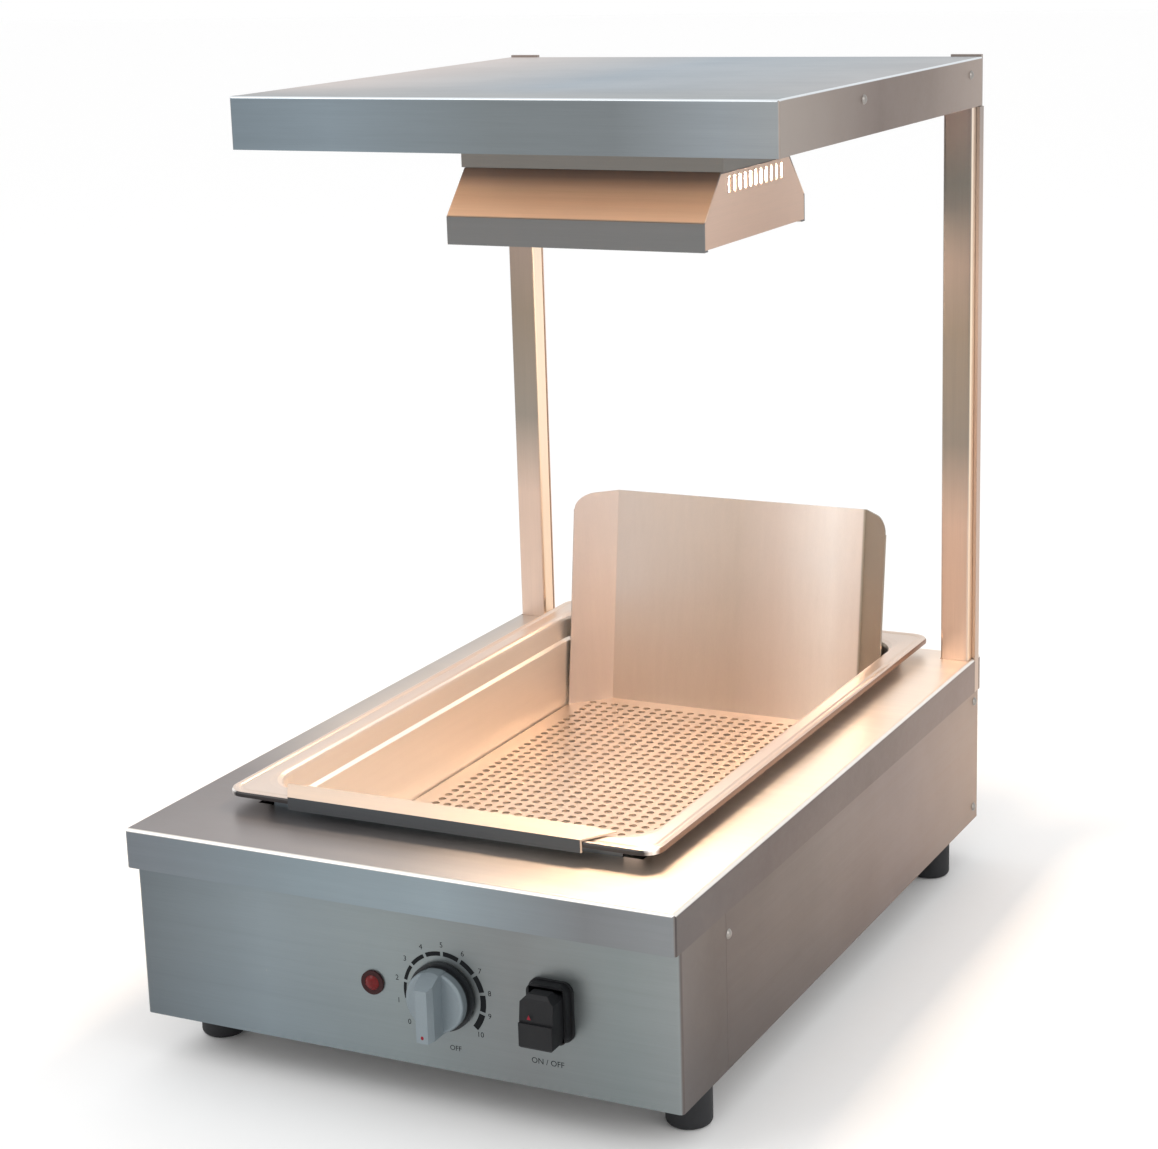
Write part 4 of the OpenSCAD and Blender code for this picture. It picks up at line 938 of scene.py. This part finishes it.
@dataclass
class Prints:
    """Printed marks of the dial, the switch, the rocker and the knob, a hair proud of what carries them.

    plane is the place along Y at which the next marks are laid.
    """

    knob_x: float = 33.7 * MM
    knob_z: float = 86.0 * MM
    lift: float = 0.06 * MM
    knob_lift: float = 0.01 * MM
    number_radius: float = 34.7 * MM
    number_size: float = 5.2 * MM
    last_number: int = 10
    first: float = 221.0
    step: float = -26.2
    arc_radius: float = 27.2 * MM
    arc_gap: float = 4.0
    arc_thin: float = 1.9 * MM
    arc_growth: float = 0.27 * MM
    arc_points: int = 9
    off_size: float = 5.0 * MM
    off_place: tuple[float, float] = (7.5 * MM, -35.5 * MM)
    switch_x: float = 108.0 * MM
    switch_z: float = 90.0 * MM
    word_size: float = 5.6 * MM
    word_drop: float = 37.4 * MM
    spot_drop: float = 17.5 * MM
    plane: float = 0.0

    def lay(self, across: np.ndarray, up: np.ndarray) -> np.ndarray:
        """Points (x, plane, z) from their places across and up."""
        return np.stack([across, np.full_like(across, self.plane), up], axis=-1).reshape(-1, 3)

    def text(self, body: str, size: float, x: float, z: float) -> Part:
        """Outline words with the built-in face and lay them on the panel.

        Args:
            body: What it says.
            size: Height of its capitals, roughly.
            x: Middle, across.
            z: Middle, upwards.

        Returns:
            Points and triangles.
        """
        curve = bpy.data.curves.new("words", "FONT")
        curve.body = body
        curve.size = size
        curve.align_x = "CENTER"
        curve.align_y = "CENTER"
        curve.resolution_u = 3
        holder = bpy.data.objects.new("words", curve)
        mesh = bpy.data.meshes.new_from_object(holder)
        mesh.calc_loop_triangles()
        flat = np.empty(len(mesh.vertices) * 3)
        mesh.vertices.foreach_get("co", flat)
        corners = np.empty(len(mesh.loop_triangles) * 3, dtype=np.int32)
        mesh.loop_triangles.foreach_get("vertices", corners)
        flat = flat.reshape(-1, 3)
        bpy.data.objects.remove(holder)
        bpy.data.curves.remove(curve)
        bpy.data.meshes.remove(mesh)
        return self.lay(flat[:, 0] + x, flat[:, 1] + z), corners.reshape(-1, 3)

    def arc(self, start: float, end: float, inner: float, outer: float) -> Part:
        """Ring segment: x = r cos a, z = r sin a, with a from start to end and r from inner to outer.

        Args:
            start: First angle in degrees.
            end: Last angle in degrees.
            inner: Inner radius.
            outer: Outer radius.

        Returns:
            Points, inner and outer in turn, and triangles, two for each step of the angle.
        """
        angles = np.radians(np.linspace(start, end, self.arc_points))
        angle, radius = np.meshgrid(angles, np.array([inner, outer]), indexing="ij")
        points = self.lay(self.knob_x + radius * np.cos(angle), self.knob_z + radius * np.sin(angle))
        corner = 2 * np.arange(self.arc_points - 1)[:, None]
        return points, np.concatenate([corner + [0, 1, 3], corner + [0, 3, 2]])

    def blob(self, x: float, z: float, wide: float, high: float, sides: int) -> Part:
        """Flat mark: a fan round (x, z) whose rim is x + wide sin a, z + high cos a at equal angles a.

        Args:
            x: Middle, across.
            z: Middle, upwards.
            wide: Half its width.
            high: Half its height.
            sides: How many corners it has.

        Returns:
            Points, with the middle last, and triangles.
        """
        ring = np.arange(sides)
        angle = ring * 2 * np.pi / sides
        across = np.append(x + wide * np.sin(angle), x)
        up = np.append(z + high * np.cos(angle), z)
        faces = np.stack([np.full(sides, sides), ring, (ring + 1) % sides], axis=-1)
        return self.lay(across, up), faces

    def join(
        self, name: str, parts: list[Part], material: bpy.types.Material, body: str
    ) -> None:
        """Merge printed parts into one piece that rides on a body, with every triangle facing the front.

        Args:
            name: Name of the piece.
            parts: Points and triangles of each part.
            material: Its ink.
            body: The body that it rides on.
        """
        sizes = np.cumsum([0] + [len(points) for points, _ in parts])
        points = np.concatenate([points for points, _ in parts])
        faces = np.concatenate([faces + offset for (_, faces), offset in zip(parts, sizes)])
        start, second, third = (points[faces[:, i]] for i in range(3))
        away = np.cross(second - start, third - start)[:, 1] > 0
        faces[away] = faces[away][:, ::-1]
        piece = mesh_piece(name, points, faces, material)
        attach(piece, body)
        LOG.info("%s: %d points", name, len(points))

    def dial(self) -> list[Part]:
        """Numbers round the knob, arcs that thicken between them, and OFF."""
        degrees = [self.first + self.step * i for i in range(self.last_number + 1)]
        parts = []
        for i, angle in enumerate(np.radians(degrees)):
            x = self.knob_x + self.number_radius * math.cos(angle)
            z = self.knob_z + self.number_radius * math.sin(angle)
            parts.append(self.text(str(i), self.number_size, x, z))
        for i in range(1, self.last_number):
            start = degrees[i] - self.arc_gap / 2
            end = degrees[i] + self.step + self.arc_gap / 2
            outer = self.arc_radius + self.arc_thin + self.arc_growth * i
            parts.append(self.arc(start, end, self.arc_radius, outer))
        x, z = self.off_place
        parts.append(self.text("OFF", self.off_size, self.knob_x + x, self.knob_z + z))
        return parts

    def build(self) -> None:
        """Print the dial, the switch's words and the marks of the rocker and the knob."""
        ink = Moulded("dark_ink", srgb(16, 19, 22), 0.6, 0.0, 1500.0, 0.3, 0.0, 0.15).build()
        red = Moulded("red_mark", srgb(128, 24, 40), 0.6, 0.0, 1500.0, 0.2, 0.0, 0.2).build()
        self.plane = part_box("front_panel")[0][1] - self.lift
        self.join("dial_print", self.dial(), ink, "warmer_body")
        words = self.text("ON / OFF", self.word_size, self.switch_x, self.switch_z - self.word_drop)
        self.join("switch_print", [words], ink, "warmer_body")
        self.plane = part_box("rocker")[0][1] - self.lift
        mark = self.blob(self.switch_x + 0.5 * MM, self.switch_z + 3.4 * MM, 1.6 * MM, 2.2 * MM, 3)
        self.join("switch_mark", [mark], red, "rocker_body")
        self.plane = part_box("knob")[0][1] - self.knob_lift
        spot = self.blob(self.knob_x, self.knob_z - self.spot_drop, 1.1 * MM, 1.3 * MM, 20)
        self.join("knob_mark", [spot], red, "knob_body")


def main() -> None:
    """Build the camera, the studio, the finishes and the pieces in order."""
    logging.basicConfig(level=logging.INFO, format="%(message)s")
    Camera().build()
    Studio().build()
    Finishes().build()
    Prints().build()


if __name__ == "__main__":
    main()
